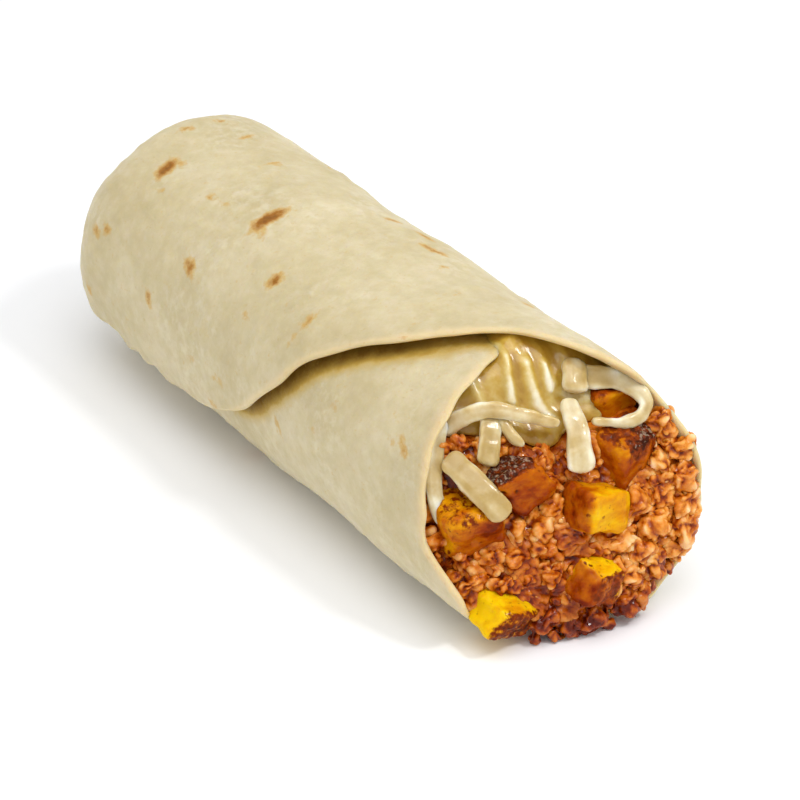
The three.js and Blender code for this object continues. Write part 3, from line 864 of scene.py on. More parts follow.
def back_spots() -> list[Spot]:
    """Toasted spots over the back and the underside, scattered like those on the side that is seen.

    Returns:
        The spots.
    """
    draw = seeded(BACK_SPOT_SEED)
    spots = []
    for _ in range(BACK_SPOTS):
        wrap, x = 205 + 215 * draw(), -66 + 128 * draw()
        length, slim = 1.8 + 4.6 * draw() ** 2.2, 0.4 + 0.3 * draw()
        spots.append(Spot(wrap, x, length, length * slim, 180 * draw(), 0.4 + 0.1 * length))
    return spots


@dataclass
class Tortilla:
    """The rolled sheet, with soft rims, blisters, ripples along its free edge and toasted spots."""

    columns: int = 330
    rows: int = 128
    rim_steps: int = 4
    end_share: float = 0.24  # share of the rows that lie over the closed end
    rim_thinning: float = 0.35  # share of its thickness that the sheet loses at its rims
    dents: Sequence[Place] = ((0.42, 19, 1), (0.2, 8, 2))
    blister_height: float = 0.55
    spots: Sequence[Spot] = (*(Spot(*row) for row in SPOTS), *back_spots())

    def slab(self) -> Draft:
        """A flat slab of the sheet.

        Returns:
            Its mesh, where x is the share of the wrap, y the share of the length and z the depth.
        """
        shape = bmesh.new()
        bmesh.ops.create_grid(shape, x_segments=self.columns, y_segments=self.rows, size=0.5)
        bmesh.ops.translate(shape, verts=shape.verts, vec=(0.5, 0.5, 0))
        made = bmesh.ops.extrude_face_region(shape, geom=shape.faces[:], use_keep_orig=True)
        lower = [part for part in made["geom"] if isinstance(part, bmesh.types.BMVert)]
        bmesh.ops.translate(shape, verts=lower, vec=(0, 0, -1))
        upright = [e for e in shape.edges if abs(e.verts[0].co.z - e.verts[1].co.z) > 0.5]
        bmesh.ops.subdivide_edges(shape, edges=upright, cuts=self.rim_steps - 1)
        return Draft(shape)

    def along(self, wrap: Array, share: Array) -> Array:
        """Places along the axis, evenly spaced over the closed end and then along the body.

        Args:
            wrap: Wrap angle.
            share: 0 at the middle of the closed end and 1 at the front edge.

        Returns:
            The places.
        """
        end, rise = ROLL.rounded_length(wrap), ROLL.wrap_rise(wrap)
        angle = clamp01(share / self.end_share) * math.pi / 2
        over_end = 1 - np.cos(angle) ** (2 / ROLL.bluntness)
        body = clamp01((share - self.end_share) / (1 - self.end_share))
        start = ROLL.closed_end + end
        on_body = start + (ROLL.front_edge(wrap) - start) * body
        on_end = ROLL.closed_end - rise + over_end * (end + rise)
        return np.where(share < self.end_share, on_end, on_body)

    def roll_up(self, draft: Draft) -> tuple[Array, Array, Array]:
        """Rolls the slab up, with rounded rims and a waving free edge.

        Args:
            draft: The flat slab.

        Returns:
            The wrap angle, the place along the axis and the depth share of each point.
        """
        flat = draft.points
        across, share, depth = flat[:, 0], flat[:, 1], -flat[:, 2]
        wrap = ROLL.wrap_start + (ROLL.wrap_finish - ROLL.wrap_start) * across
        x = self.along(wrap, share)
        bulge = 0.5 * ROLL.sheet * np.sqrt(clamp01(1 - (2 * depth - 1) ** 2))
        ripple = 0.35 * np.sin(wrap * 0.11) + 0.25 * np.sin(wrap * 0.29 + 1.3)
        rim = np.where(share > 1 - 1e-6, bulge, 0)
        x = x + rim + smooth(12, 0, ROLL.front_edge(wrap) - x) * (ripple - 0.5)
        free = (across > 1 - 1e-6) | (across < 1e-6)
        sideways = np.where(free, bulge * 2.0, 0) * np.where(across > 0.5, 1, -1)
        wave = (1.1 * np.sin(x / 2.9) + 0.8 * np.sin(x / 1.7 + 2)) * smooth(0.985, 1, across)
        turn = wrap + sideways + wave
        near_side = smooth(0.988, 1, across)
        thinned = self.rim_thinning * np.maximum(smooth(4.5, 0, ROLL.front_edge(wrap) - x), near_side)
        thickness = depth * ROLL.sheet * (1 - thinned)
        rise = ROLL.wrap_rise(wrap) - thickness - 0.5 * ROLL.sheet * thinned * near_side
        rise = rise + ROLL.flap_lift(wrap, x) + self.unevenness(turn, wrap, x, depth, near_side)
        draft.points = ROLL.point(turn, x, rise, np.maximum(0, depth * ROLL.sheet))
        return wrap, x, depth

    def unevenness(self, turn: Array, wrap: Array, x: Array, depth: Array, near_side: Array) -> Array:
        """The dough's dents, its blisters where it lies open, and the ripples beside its free edge.

        Args:
            turn: Wrap angle with the rounding and waves of the free edge.
            wrap: Wrap angle.
            x: Place along the axis.
            depth: Depth share, 0 on the outside.
            near_side: How near the point is to the free edge along the roll.

        Returns:
            How far each point is lifted.
        """
        ring = np.stack([28 * np.cos(turn * DEG), 28 * np.sin(turn * DEG), x], axis=-1)
        dents = uneven(ring, *self.dents) * smooth(ROLL.closed_end + 4, ROLL.closed_end + 30, x)
        covered = (wrap + 360 < ROLL.wrap_finish) & (x < ROLL.front_edge(wrap + 360) + 2)
        open_face = np.where(covered, 0.0, 1.0) * (1 - depth)
        blisters = clamp01(soft_noise(ring, 4.2, 3) - 0.12) * 0.9 + 0.1 * soft_noise(ring, 2.0, 4)
        ripples = near_side * 0.45 * np.sin(x / 1.9 + 2 * np.sin(x / 7)) * (1 - depth)
        return dents + open_face * blisters * self.blister_height + ripples

    def toast(self, points: Array, depth: Array) -> Array:
        """How toasted each point is, from the spots near it.

        Args:
            points: The points of the rolled sheet.
            depth: Their depth shares.

        Returns:
            0 for plain dough, up to 1 in the middle of a dark spot.
        """
        total = np.zeros(len(points))
        bent = points + warp(points, 2.2, 20) * 0.5
        for spot in self.spots:
            rise = ROLL.wrap_rise(spot.wrap)
            steps = ((0, 0), (0, 1), (2, 0))
            places = ([spot.wrap + wrap, spot.x + x, rise, 0.0] for wrap, x in steps)
            here, ahead, beside = (ROLL.point(*np.array(place)) for place in places)
            turn = spot.turn * DEG
            axis = unit(ahead - here) * math.cos(turn) + unit(beside - here) * math.sin(turn)
            off = bent - here
            reach = off @ axis
            rest = np.sqrt(np.maximum(0, (off * off).sum(axis=1) - reach * reach))
            far = np.sqrt((reach / (0.5 * spot.length)) ** 2 + (rest / (0.66 * spot.width)) ** 2)
            total = np.maximum(total, spot.dark * (1.05 - 0.6 * far))
        return np.where(depth < 0.5, clamp01(total), 0.0)

    def golden(self, wrap: Array, x: Array, depth: Array) -> Array:
        """Where the sheet is golden with oil: beside the flap's edge, where a painted shadow also darkens it,
        under the roof and on the rim's inside.

        Args:
            wrap: Wrap angle of each point.
            x: Its place along the axis.
            depth: Its depth share.

        Returns:
            0 to 1 for each point.
        """
        from_rim = ROLL.front_edge(wrap) - x
        above = np.where(wrap + 360 < ROLL.wrap_finish, ROLL.front_edge(wrap + 360), -200)
        slant = (ROLL.front_edge(wrap + 361) - ROLL.front_edge(wrap + 359)) / (2 * DEG * ROLL.half_width)
        away = (x - above) / np.sqrt(1 + slant * slant)
        near_mouth = 0.6 + 0.4 * smooth(100, 125, wrap)
        # Painted shadow with the oil: darkest right beside the flap's edge, where the flap shades the layer
        # below
        beside_flap = smooth(5.4, -0.4, away) * (1 - depth) * smooth(205, 185, wrap) * near_mouth
        inside = 0.35 * depth * smooth(26, 4, from_rim)
        roof = 0.34 * smooth(0.2, 0.7, depth) * smooth(45, 10, from_rim) * smooth(400, 436, wrap)
        return np.maximum(beside_flap, np.maximum(inside, roof))

    def build(self) -> None:
        """Makes the sheet and the tuck at its closed end."""
        material = GriddledTortilla().material()
        draft = self.slab()
        wrap, x, depth = self.roll_up(draft)
        golden = self.golden(wrap, x, depth)
        edge = smooth(2.2, 0, ROLL.front_edge(wrap) - x) * (1 - golden)
        draft.paint(toast=self.toast(draft.points, depth), golden=golden, edge=edge)
        draft.finish("tortilla_sheet", material, "tortilla", "tortilla")
        self.tuck().finish("tortilla_tuck", material, "tortilla", "tortilla")

    def tuck(self) -> Draft:
        """The tortilla's folded end, tucked into the middle of the closed end.

        Returns:
            Its mesh, plain dough all over.
        """
        draft, angle, _ = globe(96, 48)
        across, up, back = draft.points.T
        radius = np.hypot(across, up)
        gathers = np.sin(5 * angle * DEG + 3.4 * radius) * 0.6 * radius * (1 - 0.4 * radius)
        x = back * 3.4 - gathers * np.sign(-back + 1e-9)
        places = np.stack([x, across * 9.4, up * 9.0], axis=-1) + (DEEPEST, 0, AXIS_HEIGHT)
        draft.points = places + draft.normals() * uneven(places, (0.3, 3, 5))[:, None]
        plain = np.zeros(len(places))
        draft.paint(toast=plain, golden=plain, edge=plain)
        return draft


# The filling


@dataclass(frozen=True)
class Chunk:
    """A chunk of fried plantain: its middle over the axis, its sizes, its turn, and where it is brown."""

    name: str
    at: Place
    size: Place
    turn: Place
    seed: int
    ripe: float
    riper: float
    riper_toward: Place
    char: float
    char_toward: Place
    pits: float = 0.0


@dataclass
class Plantain:
    """The chunks of fried plantain."""

    cuts: int = 30
    squareness: float = 5.0
    skew: float = 0.44
    chunks: Sequence[Chunk] = (
        Chunk("plantain_left", (61.8, -16.6, 0.4), (12, 12.5, 11.6), (14, 8, -12), 3,
              0.42, 0.4, (0.5, 0.2, -0.8), 0.3, (0.5, -0.2, 0.8), 0.6),
        Chunk("plantain_bottom", (70.4, -14, -16.8), (11, 12, 7.6), (-24, 10, 6), 8,
              0.02, 0.5, (0.8, 0.5, -0.3), 0.62, (0.9, 0.35, -0.3)),
        Chunk("plantain_charred", (65, -7.6, 6.4), (9.6, 9.2, 9.8), (24, -6, 10), 15,
              0.72, 0.25, (0, 0, -1), 0.9, (-0.3, -0.35, 0.8), 0.7),
        Chunk("plantain_middle", (72.2, 6, 0.8), (10, 11.6, 8.6), (-14, -10, 8), 21,
              0.26, 0.55, (-0.5, -0.75, 0.45), 0.15, (-0.5, -0.7, 0.5)),
        Chunk("plantain_right", (69.2, 14.2, 8.2), (10, 10.6, 11), (6, 12, 14), 34,
              0.66, 0.25, (0, 0.2, -1), 0.9, (0.1, 0.8, 0.55)),
        Chunk("plantain_low", (77, 2.6, -12.4), (8.6, 9, 8.6), (-22, 8, 16), 47,
              0.24, 0.66, (0.5, -0.7, -0.4), 0.5, (0.8, 0.4, -0.4), 0.6),
        Chunk("plantain_tucked", (60.7, 17.4, 15.6), (6, 10, 6.4), (4, 0, -10), 52,
              0.5, 0.3, (0, 0, 1), 0.3, (0, -0.4, 1)),
    )

    def build(self) -> None:
        """Makes each chunk."""
        material = FriedPlantain().material()
        for chunk in self.chunks:
            self.shape(chunk).finish(f"fried_{chunk.name}", material, "plantain", chunk.name)

    def shape(self, chunk: Chunk) -> Draft:
        """A cut cube with soft edges, pulled corners, dents and pits.

        Args:
            chunk: What the chunk is like.

        Returns:
            Its mesh, with how ripe and how burnt each point is.
        """
        draft, ball = rounded_cube(2, self.cuts, self.squareness)
        draw = seeded(chunk.seed)
        pulled = ball.copy()
        for corner in ((x, y, z) for x in (-1, 1) for y in (-1, 1) for z in (-1, 1)):
            pull = (np.array([draw(), draw(), draw()]) - 0.5) * self.skew
            pulled += pull * ((corner * ball + 1) / 2).prod(axis=1)[:, None]
        turn = [Matrix.Rotation(angle * DEG, 3, axis) for angle, axis in zip(chunk.turn, "XYZ")]
        matrix = np.array(turn[0] @ turn[1] @ turn[2])
        turned = (pulled * np.array(chunk.size) / 2) @ matrix.T
        draft.points = turned + np.array(chunk.at) + (0, 0, AXIS_HEIGHT)
        points, normals = draft.points, draft.normals()
        dents = uneven(points, (0.95, 4.6, chunk.seed), (0.3, 1.7, chunk.seed + 1))
        pit = smooth(0.8, 1, bumps(points, 2.3, chunk.seed)) * chunk.pits
        toward_char, toward_ripe = (
            normals @ unit(np.array(toward)) + uneven(points, (0.4, 3.2, seed))
            for toward, seed in ((chunk.char_toward, chunk.seed + 2), (chunk.riper_toward, chunk.seed + 3))
        )
        char = chunk.char * smooth(-0.1, 0.75, toward_char)
        riper = chunk.riper * smooth(-0.1, 0.9, toward_ripe)
        ripe = chunk.ripe + riper + uneven(points, (0.2, 5.5, chunk.seed + 4))
        crust = char * 0.6 * (bumps(points, 1.3, 3) - 0.4)
        draft.points = points + normals * (dents - 0.5 * pit + crust - 0.3)[:, None]
        draft.paint(char=np.maximum(char, pit), ripe=clamp01(ripe))
        return draft


@dataclass(frozen=True)
class Shred:
    """A strip of cheese along a path over the face: how far it stands off, y, and height over the axis.

    milky is how white it still is, and narrow the share of its width that is left at the far end.
    """

    name: str
    width: float
    thick: float
    milky: float
    path: Sequence[Place]
    narrow: float = 1.0


@dataclass
class Cheese:
    """The shreds of cheese over the opening, and the melted cheese on the beef behind them."""

    floor: float = 12.5
    floor_bow: float = 0.0051
    lip_depth: float = 2.6
    lip_at: float = 0.6
    lip_spread: float = 4.0
    sunk: float = 5.0
    waist: float = 19.0
    softness: float = 0.62
    around: int = 28
    per_millimetre: float = 2.6
    path_steps: int = 400
    shreds: Sequence[Shred] = (
        Shred("cheese_bar", 5.2, 2.4, 0.05,
              ((0.2, -18.5, 11.8), (3.0, -17.1, 9.6), (5.2, -15.3, 6.4), (5.2, -13.1, 3.0))),
        Shred("cheese_rim", 3.4, 1.7, 0.5,
              ((-2.2, -16.2, 17.4), (-0.4, -20.2, 11.6), (0.6, -22.2, 6.2), (1, -21.9, 0.6))),
        Shred("cheese_arch", 3.8, 2.0, 0.4,
              ((-3.6, -16.4, 14.6), (-0.6, -12.6, 18), (0.6, -8.2, 19), (0.8, -3.4, 17.8),
               (0.6, 2.8, 15.4)), 0.6),
        Shred("cheese_drop", 3.6, 1.8, 0.25,
              ((-1.8, -8, 18), (-0.2, -9.4, 15.8), (0.8, -11, 13.2), (1.3, -12.6, 10.2)), 1.25),
        Shred("cheese_short", 2.8, 1.5, 0.35,
              ((-1.8, -6.8, 17.6), (-0.4, -6.7, 15.8), (0.3, -6.1, 14.1), (0.6, -4.7, 12.5)), 0.6),
        Shred("cheese_hang", 3.7, 2.0, 0.35,
              ((-0.8, 6.3, 18.8), (1.6, 5.2, 15), (2.6, 4, 11.4), (2.9, 3, 8)), 1.5),
        Shred("cheese_block", 4.4, 2.4, 0.25,
              ((-3.4, 11.2, 23.6), (-2.2, 9.7, 21.6), (-1.4, 8.4, 19)), 1.25),
        Shred("cheese_curl", 4.9, 1.5, 0.4,
              ((-4.2, 9.8, 20.6), (-2, 12.8, 20.8), (-0.4, 16.6, 20.4), (0.8, 19.5, 18.5), (1.6, 20.1, 16.4),
               (1.6, 18.3, 14.9), (1.2, 14.4, 14.3), (0.6, 9, 15.2)), 0.32),
    )
    # How pale each run is painted: whiter cheese with a painted highlight along it
    runs: Sequence[Shred] = (
        Shred("run", 2.4, 2, 0.5, ((-4.8, -8.4, 21.6), (-4.6, -8.2, 20), (-4.8, -8, 18))),
        Shred("run", 2, 2, 0.9, ((-5, -0.6, 25), (-4.6, -1.4, 22), (-4.8, -2.4, 18))),
        Shred("run", 3, 2.2, 1, ((-5, 2.6, 23.4), (-4.6, 2.2, 20.2), (-4.6, 2.3, 16.8), (-4.8, 3.6, 14.6))),
        Shred("run", 1.6, 1.8, 0.7, ((-5, 5.8, 23), (-4.8, 5.4, 20.6), (-5, 5.2, 19))),
        Shred("run", 4.4, 2.2, 0.3, ((-4.8, 11.8, 19.2), (-4.4, 13.2, 16.4), (-4.6, 14, 13.8))),
    )

    def build(self) -> None:
        """Makes the shreds and the melted cheese."""
        shredded = WhiteCheese(CheeseState.SHRED).material()
        melted = WhiteCheese(CheeseState.MELTED).material()
        for number, shred in enumerate(self.shreds):
            self.strip(shred, number).finish(f"{shred.name}_shred", shredded, "cheese", shred.name)
        self.melt().finish("cheese_melt_body", melted, "cheese", "cheese_melt")

    def curve(self, shred: Shred) -> Array:
        """A smooth path through a shred's points.

        Args:
            shred: The shred.

        Returns:
            Points along the path, in even steps.
        """
        knots = [np.array((ROLL.face(y, h) + off, y, h + AXIS_HEIGHT)) for off, y, h in shred.path]
        knots = [2 * knots[0] - knots[1], *knots, 2 * knots[-1] - knots[-2]]
        t = np.linspace(0, 1, 60)[:, None]
        t2, t3 = t**2, t**3
        found = []
        for a, b, c, d in zip(knots, knots[1:], knots[2:], knots[3:]):
            ab, bc, cd = (max(np.linalg.norm(q - p), 1e-4) ** 0.5 for p, q in ((a, b), (b, c), (c, d)))
            leave = ((b - a) / ab - (c - a) / (ab + bc) + (c - b) / bc) * bc
            arrive = ((c - b) / bc - (d - b) / (bc + cd) + (d - c) / cd) * bc
            at_knots = (2 * t3 - 3 * t2 + 1) * b + (3 * t2 - 2 * t3) * c
            found.append(at_knots + (t3 - 2 * t2 + t) * leave + (t3 - t2) * arrive)
        path = np.concatenate(found)
        length = np.concatenate([[0], np.cumsum(np.linalg.norm(np.diff(path, axis=0), axis=1))])
        even = np.linspace(0, length[-1], self.path_steps)
        return between(path, even, length)

    def strip(self, shred: Shred, seed: int) -> Draft:
        """A strip with soft corners and rounded ends along a shred's path.

        Args:
            shred: The shred.
            seed: Shifts its unevenness.

        Returns:
            Its mesh.
        """
        path = self.curve(shred)
        length = np.linalg.norm(np.diff(path, axis=0), axis=1).sum()
        draft, angle, polar = globe(self.around, max(24, round(length * self.per_millimetre)))
        end = 0.5 * shred.width / length
        share = np.interp(polar, (0, 0.14, 0.86, 1), (0, end, 1 - end, 1))
        from_end = clamp01(np.minimum(share, 1 - share) / end)
        size = np.sqrt(clamp01(1 - (1 - from_end) ** 2.4))
        width = shred.width * (1 - (1 - shred.narrow) * share)
        spot = share * (self.path_steps - 1)
        stations = np.arange(self.path_steps)
        centre = between(path, spot, stations)
        along = unit(between(np.gradient(path, axis=0), spot, stations))
        across = unit(np.cross(along, unit(np.array((1, -ROLL.face_lean, ROLL.face_slope)))))
        out = np.cross(across, along)
        a = signed_power(np.cos(angle * DEG), self.softness) * width / 2 * size
        b = signed_power(np.sin(angle * DEG), self.softness) * shred.thick / 2 * size**0.6
        places = centre + across * a[:, None] + out * b[:, None]
        draft.points = places
        fibres = soft_noise(np.stack([share * length / 7, a / 0.9, b / 2], axis=-1), 1, seed)
        relief = uneven(places, (0.4, 4.2, seed), (0.2, 1.8, seed + 0.5)) + 0.07 * fibres
        draft.points = places + draft.normals() * relief[:, None]
        # Painted sheen: the strip's edges and tips are painted paler than its middle
        edge = np.maximum(np.abs(np.cos(angle * DEG)) ** 3, 1 - from_end)
        milk = shred.milky + 0.3 * edge + 0.35 * fibres + uneven(places, (0.6, 3.4, seed + 0.7))
        draft.paint(pale=clamp01(milk))
        return draft

    def lip(self, y: Array) -> Array:
        """How much lower the cheese hangs in its middle."""
        return self.lip_depth * bell(y, self.lip_at, self.lip_spread)

    def floor_at(self, y: Array) -> Array:
        """Height over the axis at which the cheese lies on the beef."""
        return self.floor + self.floor_bow * y * y - self.lip(y)

    def growth(self, angle: Array) -> Array:
        """How much further the melt reaches out than the beef, up to the underside of the roof.

        Args:
            angle: Angle round the roll.

        Returns:
            The distance.
        """
        roof = ROLL.wrap_rise(360 + angle) - ROLL.sheet + ROLL.flap_lift(360 + angle, MOUTH)
        room = np.minimum(4.5, roof + 0.3 - ROLL.filling_rise(angle))
        return room * smooth(0, 30, angle) * smooth(98, 84, angle)

    def section(self, grown: bool) -> Array:
        """How far the melt's section reaches from a middle at the height of its waist, at each degree.

        Args:
            grown: Whether it reaches up to the roof, as it does at its face.

        Returns:
            361 distances.
        """
        angles = np.arange(361.0)
        sides = ROLL.filling_side(angles, np.full(361, MOUTH), -self.growth(angles) if grown else 0.5)
        across, up = sides[:, 1], sides[:, 2] - AXIS_HEIGHT
        outline_angle, outline_radius = np.arctan2(up, across) / DEG % 360, np.hypot(across, up)
        order = np.argsort(outline_angle)
        steps = np.arange(0.1, 40, 0.1)
        reach = np.zeros(361)
        for degree in range(361):
            y = steps * math.cos(degree * DEG)
            height = self.waist + steps * math.sin(degree * DEG)
            toward = np.arctan2(height, y) / DEG % 360
            limit = np.interp(toward, outline_angle[order], outline_radius[order], period=360)
            inside = (np.hypot(y, height) < limit) & (height > self.floor_at(y))
            reach[degree] = steps[inside][-1] if inside.any() else 0.1
        return reach

    def melt(self) -> Draft:
        """The melted cheese: a body through the roll whose front face sags in soft folds.

        Returns:
            Its mesh.
        """
        draft, angle, polar = globe(260, 150)
        size, back = front_and_back(polar)
        near, far = (np.interp(angle, np.arange(361), self.section(grown)) for grown in (True, False))
        radius = (near + (far - near) * smooth(0, 0.2, back)) * size * rounded_end(back, 0.9)
        across, up = np.cos(angle * DEG), np.sin(angle * DEG)
        y, height = near * across * size, self.waist + near * up * size
        offset, pale = self.folds(y, height, size)
        face = ROLL.face(y, height) + offset
        depth = np.interp(back, (0, 0.2, 1), (0, 0.12, 1))
        x = face + (DEEPEST + 3 - face) * depth
        draft.points = np.stack([x, radius * across, self.waist + radius * up + AXIS_HEIGHT], axis=-1)
        draft.paint(pale=pale)
        return draft

    def folds(self, y: Array, height: Array, size: Array) -> tuple[Array, Array]:
        """The folds, bubbles and runs of the melt's front face.

        Args:
            y: Places across the roll.
            height: Their heights over the axis.
            size: How far out each lies, 0 to 1.

        Returns:
            How far each place stands off the filling's face, and how pale it is painted, with painted
            highlights on its bubbles and runs.
        """
        on_face = np.stack([np.zeros(len(y)), y, height], axis=-1)
        folds = soft_noise(on_face * (1, 1, 0.2), 1.6, 7)
        bubbles = bumps(on_face, 2.2, 8) * smooth(0.05, 0.5, soft_noise(on_face, 6, 9))
        relief = 0.2 * folds + uneven(on_face, (0.55, 6, 10)) + 0.4 * bubbles
        lower = smooth(self.floor_at(y) + 5, self.floor_at(y), height)
        lip = self.lip(y) / self.lip_depth
        offset = relief - self.sunk + (1.8 + 0.9 * lip) * lower - 1.2 * size**6
        beside_curl = smooth(8, 12, y) * smooth(18, 21, height)
        offset = offset + 2.2 * beside_curl - 2.4 * smooth(12, 15, y) * smooth(21, 18, height)
        streak = np.zeros(len(y))
        for run in self.runs:
            near_run = self.nearness(run, y, height)
            offset = offset + 0.35 * run.thick * near_run
            streak = np.maximum(streak, run.milky * near_run)
        clear = 0.15 * lower * lip + 0.25 * np.maximum(beside_curl, smooth(19, 25, height))
        # Bubbles are painted paler as highlights, and runs as whiter cheese with a painted highlight
        return offset, clamp01(0.36 + 0.45 * folds + 0.45 * bubbles + 0.7 * streak - clear)

    def nearness(self, run: Shred, y: Array, height: Array) -> Array:
        """How near each place is to a run of cheese down the front of the melt.

        Args:
            run: The run.
            y: Places across the roll.
            height: Their heights over the axis.

        Returns:
            1 on the run's crest, falling softly to 0 beside it.
        """
        knots = np.array(run.path)
        nearest = np.full(len(y), np.inf)
        for share in np.linspace(0, len(knots) - 1, 50):
            _, knot_y, knot_height = between(knots, share, range(len(knots)))
            nearest = np.minimum(nearest, np.hypot(y - knot_y, height - knot_height))
        return bell(nearest, 0, 0.38 * run.width)


def within(y: float, height: float, circles: Iterable[Place]) -> bool:
    """Whether a place on the face lies in any of the circles, each with its middle and its radius."""
    return any(math.hypot(at_y - y, at_height - height) < radius for at_y, at_height, radius in circles)


@dataclass(frozen=True)
class CrumbKind:
    """Crumbs of one size: how many at most, and how many cuts each side of a crumb has."""

    name: str
    size: float
    count: int
    cuts: int


@dataclass(frozen=True)
class Crumb:
    """One crumb: its middle, its three sizes, its turn, and its place and size across the face."""

    middle: Vector
    sizes: Place
    turn: Matrix
    across: Place


@dataclass
class GroundBeef:
    """The beef: its body through the roll, and the crumbs that cover its face."""

    # Place across the roll, height over the axis, width and height of each large clump
    clumps: Sequence[tuple[float, float, float, float]] = (
        (9.3, -6.4, 8.6, 6.4), (22.6, 12, 5.6, 7), (24.4, 8.4, 6, 5.4), (24.3, 2.4, 6.2, 7),
        (19.4, 0.8, 6.6, 8.4), (-18.6, -11.4, 6.6, 6.8), (-13.1, -11.6, 6.4, 5.6), (-9.1, -7.2, 8.4, 5),
        (-19.4, -6.6, 5.4, 7.2), (-0.8, 1, 6.4, 5), (-4.2, -2.4, 7.4, 5.2), (-4.1, -11.9, 5.2, 7.6),
        (13.4, -9.6, 6, 6.6), (10.8, -14.6, 5.4, 7), (-6.8, -17.2, 6.4, 5.2),
    )
    clump_depth: float = 6.0
    clump_cuts: int = 24
    clump_corners: int = 42
    crumb_corners: int = 12
    roundness: float = 2.5
    kinds: Sequence[CrumbKind] = (
        CrumbKind("beef_crumbs", 6.4, 40, 16),
        CrumbKind("beef_small_crumbs", 4.8, 40, 13),
    )
    grains: CrumbKind = CrumbKind("beef_grains", 2.9, 150, 7)
    seed: int = 20
    tries: int = 5000
    spacing: float = 0.37
    sunk: float = 0.34
    grain_sunk: float = 0.55
    face_sunk: float = 1.15
    droop: float = 2.4
    crumb_bow: float = 0.011  # how much higher the crumbs may lie towards the sides
    chunk_overlap: float = 2.0  # how far a crumb may reach below a chunk
    shred_stride: int = 33  # every which point of a shred's path the crumbs keep clear of
    grain_reach: float = 0.985
    grain_range: tuple[float, float] = (0.75, 0.5)  # the least share of its size, and how much more
    grain_spacing: float = 0.4
    crumb_clearance: float = 0.375  # share of a crumb's size round its middle that has no grains
    own_shift: Place = (17.0, 31.0, 13.0)  # how far apart two crumbs read the minced pattern
    # The least share of its kind's size that each of a crumb's sizes has, and how much more it may have
    crumb_sizes: Sequence[tuple[float, float]] = ((0.8, 0.25), (0.85, 0.4), (0.8, 0.3))
    grain_sizes: Sequence[tuple[float, float]] = ((0.8, 0.3), (0.9, 0.7), (0.75, 0.3))

    def build(self, plantain: Plantain, cheese: Cheese) -> None:
        """Makes the body and each kind of crumb.

        Args:
            plantain: The chunks that the crumbs lie between.
            cheese: The cheese over them.
        """
        material = BraisedBeef().material()
        self.body(cheese).finish("beef_body", material, "beef", "ground_beef")
        draw = seeded(self.seed)
        sizes = [(self.clump_depth, wide, tall) for _, _, wide, tall in self.clumps]
        clumps = [self.put(row[0], row[1], size, self.clump_corners, 0.4, draw)
                  for row, size in zip(self.clumps, sizes)]
        taken = [clump.across for clump in clumps]
        heaps = [(clumps, self.clump_cuts, "beef_clumps")]
        for kind in self.kinds:
            heaps.append((self.scatter(kind, draw, taken, plantain, cheese), kind.cuts, kind.name))
        heaps.append((self.sprinkle(draw, taken, plantain, cheese), self.grains.cuts, self.grains.name))
        for crumbs, cuts, name in heaps:
            self.heap(crumbs, cuts).finish(name, material, "beef", "ground_beef")

    def body(self, cheese: Cheese) -> Draft:
        """The beef's body, with a grainy front below its crumbs.

        Args:
            cheese: The cheese that lies on it.

        Returns:
            Its mesh.
        """
        draft, angle, polar = globe(220, 150)
        size, back = front_and_back(polar)
        x_side = np.interp(back, (0, 0.3, 1), (MOUTH, 20, DEEPEST))
        side = ROLL.filling_side(angle, x_side, 0.3)
        taper = rounded_end(back, 0.86)
        y = side[:, 1] * size * taper
        height = np.minimum((side[:, 2] - AXIS_HEIGHT) * size * taper, cheese.floor_at(y) - 0.3)
        face = ROLL.beef_face(y, height) - self.face_sunk
        on_face = np.stack([face, y, height], axis=-1)
        relief, crest = minced(on_face)
        depth = soft_noise(on_face, 6, 6)
        front_x = face + 1.3 * relief + 1.2 * depth - 1.6 * size**8
        x = front_x + (x_side - front_x) * np.interp(back, (0, 0.06), (0, 1))
        draft.points = np.stack([x, y, height + AXIS_HEIGHT], axis=-1)
        tone = shade(0.3 + uneven(on_face, (0.5, 5, 14)), draft.points)
        draft.paint(crest=clamp01(0.75 * crest + 0.15 * depth), tone=tone)
        return draft

    def put(self, y: float, height: float, sizes: Place, corners: int, tumble: float, draw: Draw) -> Crumb:
        """Places a crumb on the face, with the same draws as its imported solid.

        Args:
            y: Its place across the roll.
            height: Its height over the axis.
            sizes: Its three sizes.
            corners: How many corners its solid has, one draw each.
            tumble: How far it may be turned, in radians.
            draw: The random draw.

        Returns:
            The crumb.
        """
        size = max(sizes)
        droop = self.droop * float(smooth(-12, -20, height) * smooth(10, 3, y))
        x = float(ROLL.beef_face(y, height)) - size * self.sunk
        middle = Vector((x, y, height + AXIS_HEIGHT - droop))
        for _ in range(corners):
            draw()
        turn = Matrix.Identity(4)
        for axis in "XYZ":
            turn = turn @ Matrix.Rotation(tumble * draw(), 4, axis)
        return Crumb(middle, sizes, turn, (y, height, size))

    def anywhere(self, reach: float, draw: Draw) -> tuple[float, float]:
        """A random place on the face.

        Args:
            reach: Share of the way to the face's outline that it may lie at.
            draw: The random draw.

        Returns:
            Its place across the roll and its height over the axis.
        """
        share = math.sqrt(draw()) * reach
        side = ROLL.filling_side(np.array([360 * draw()]), np.array([MOUTH]), 0.0)[0]
        return side[1] * share, (side[2] - AXIS_HEIGHT) * share

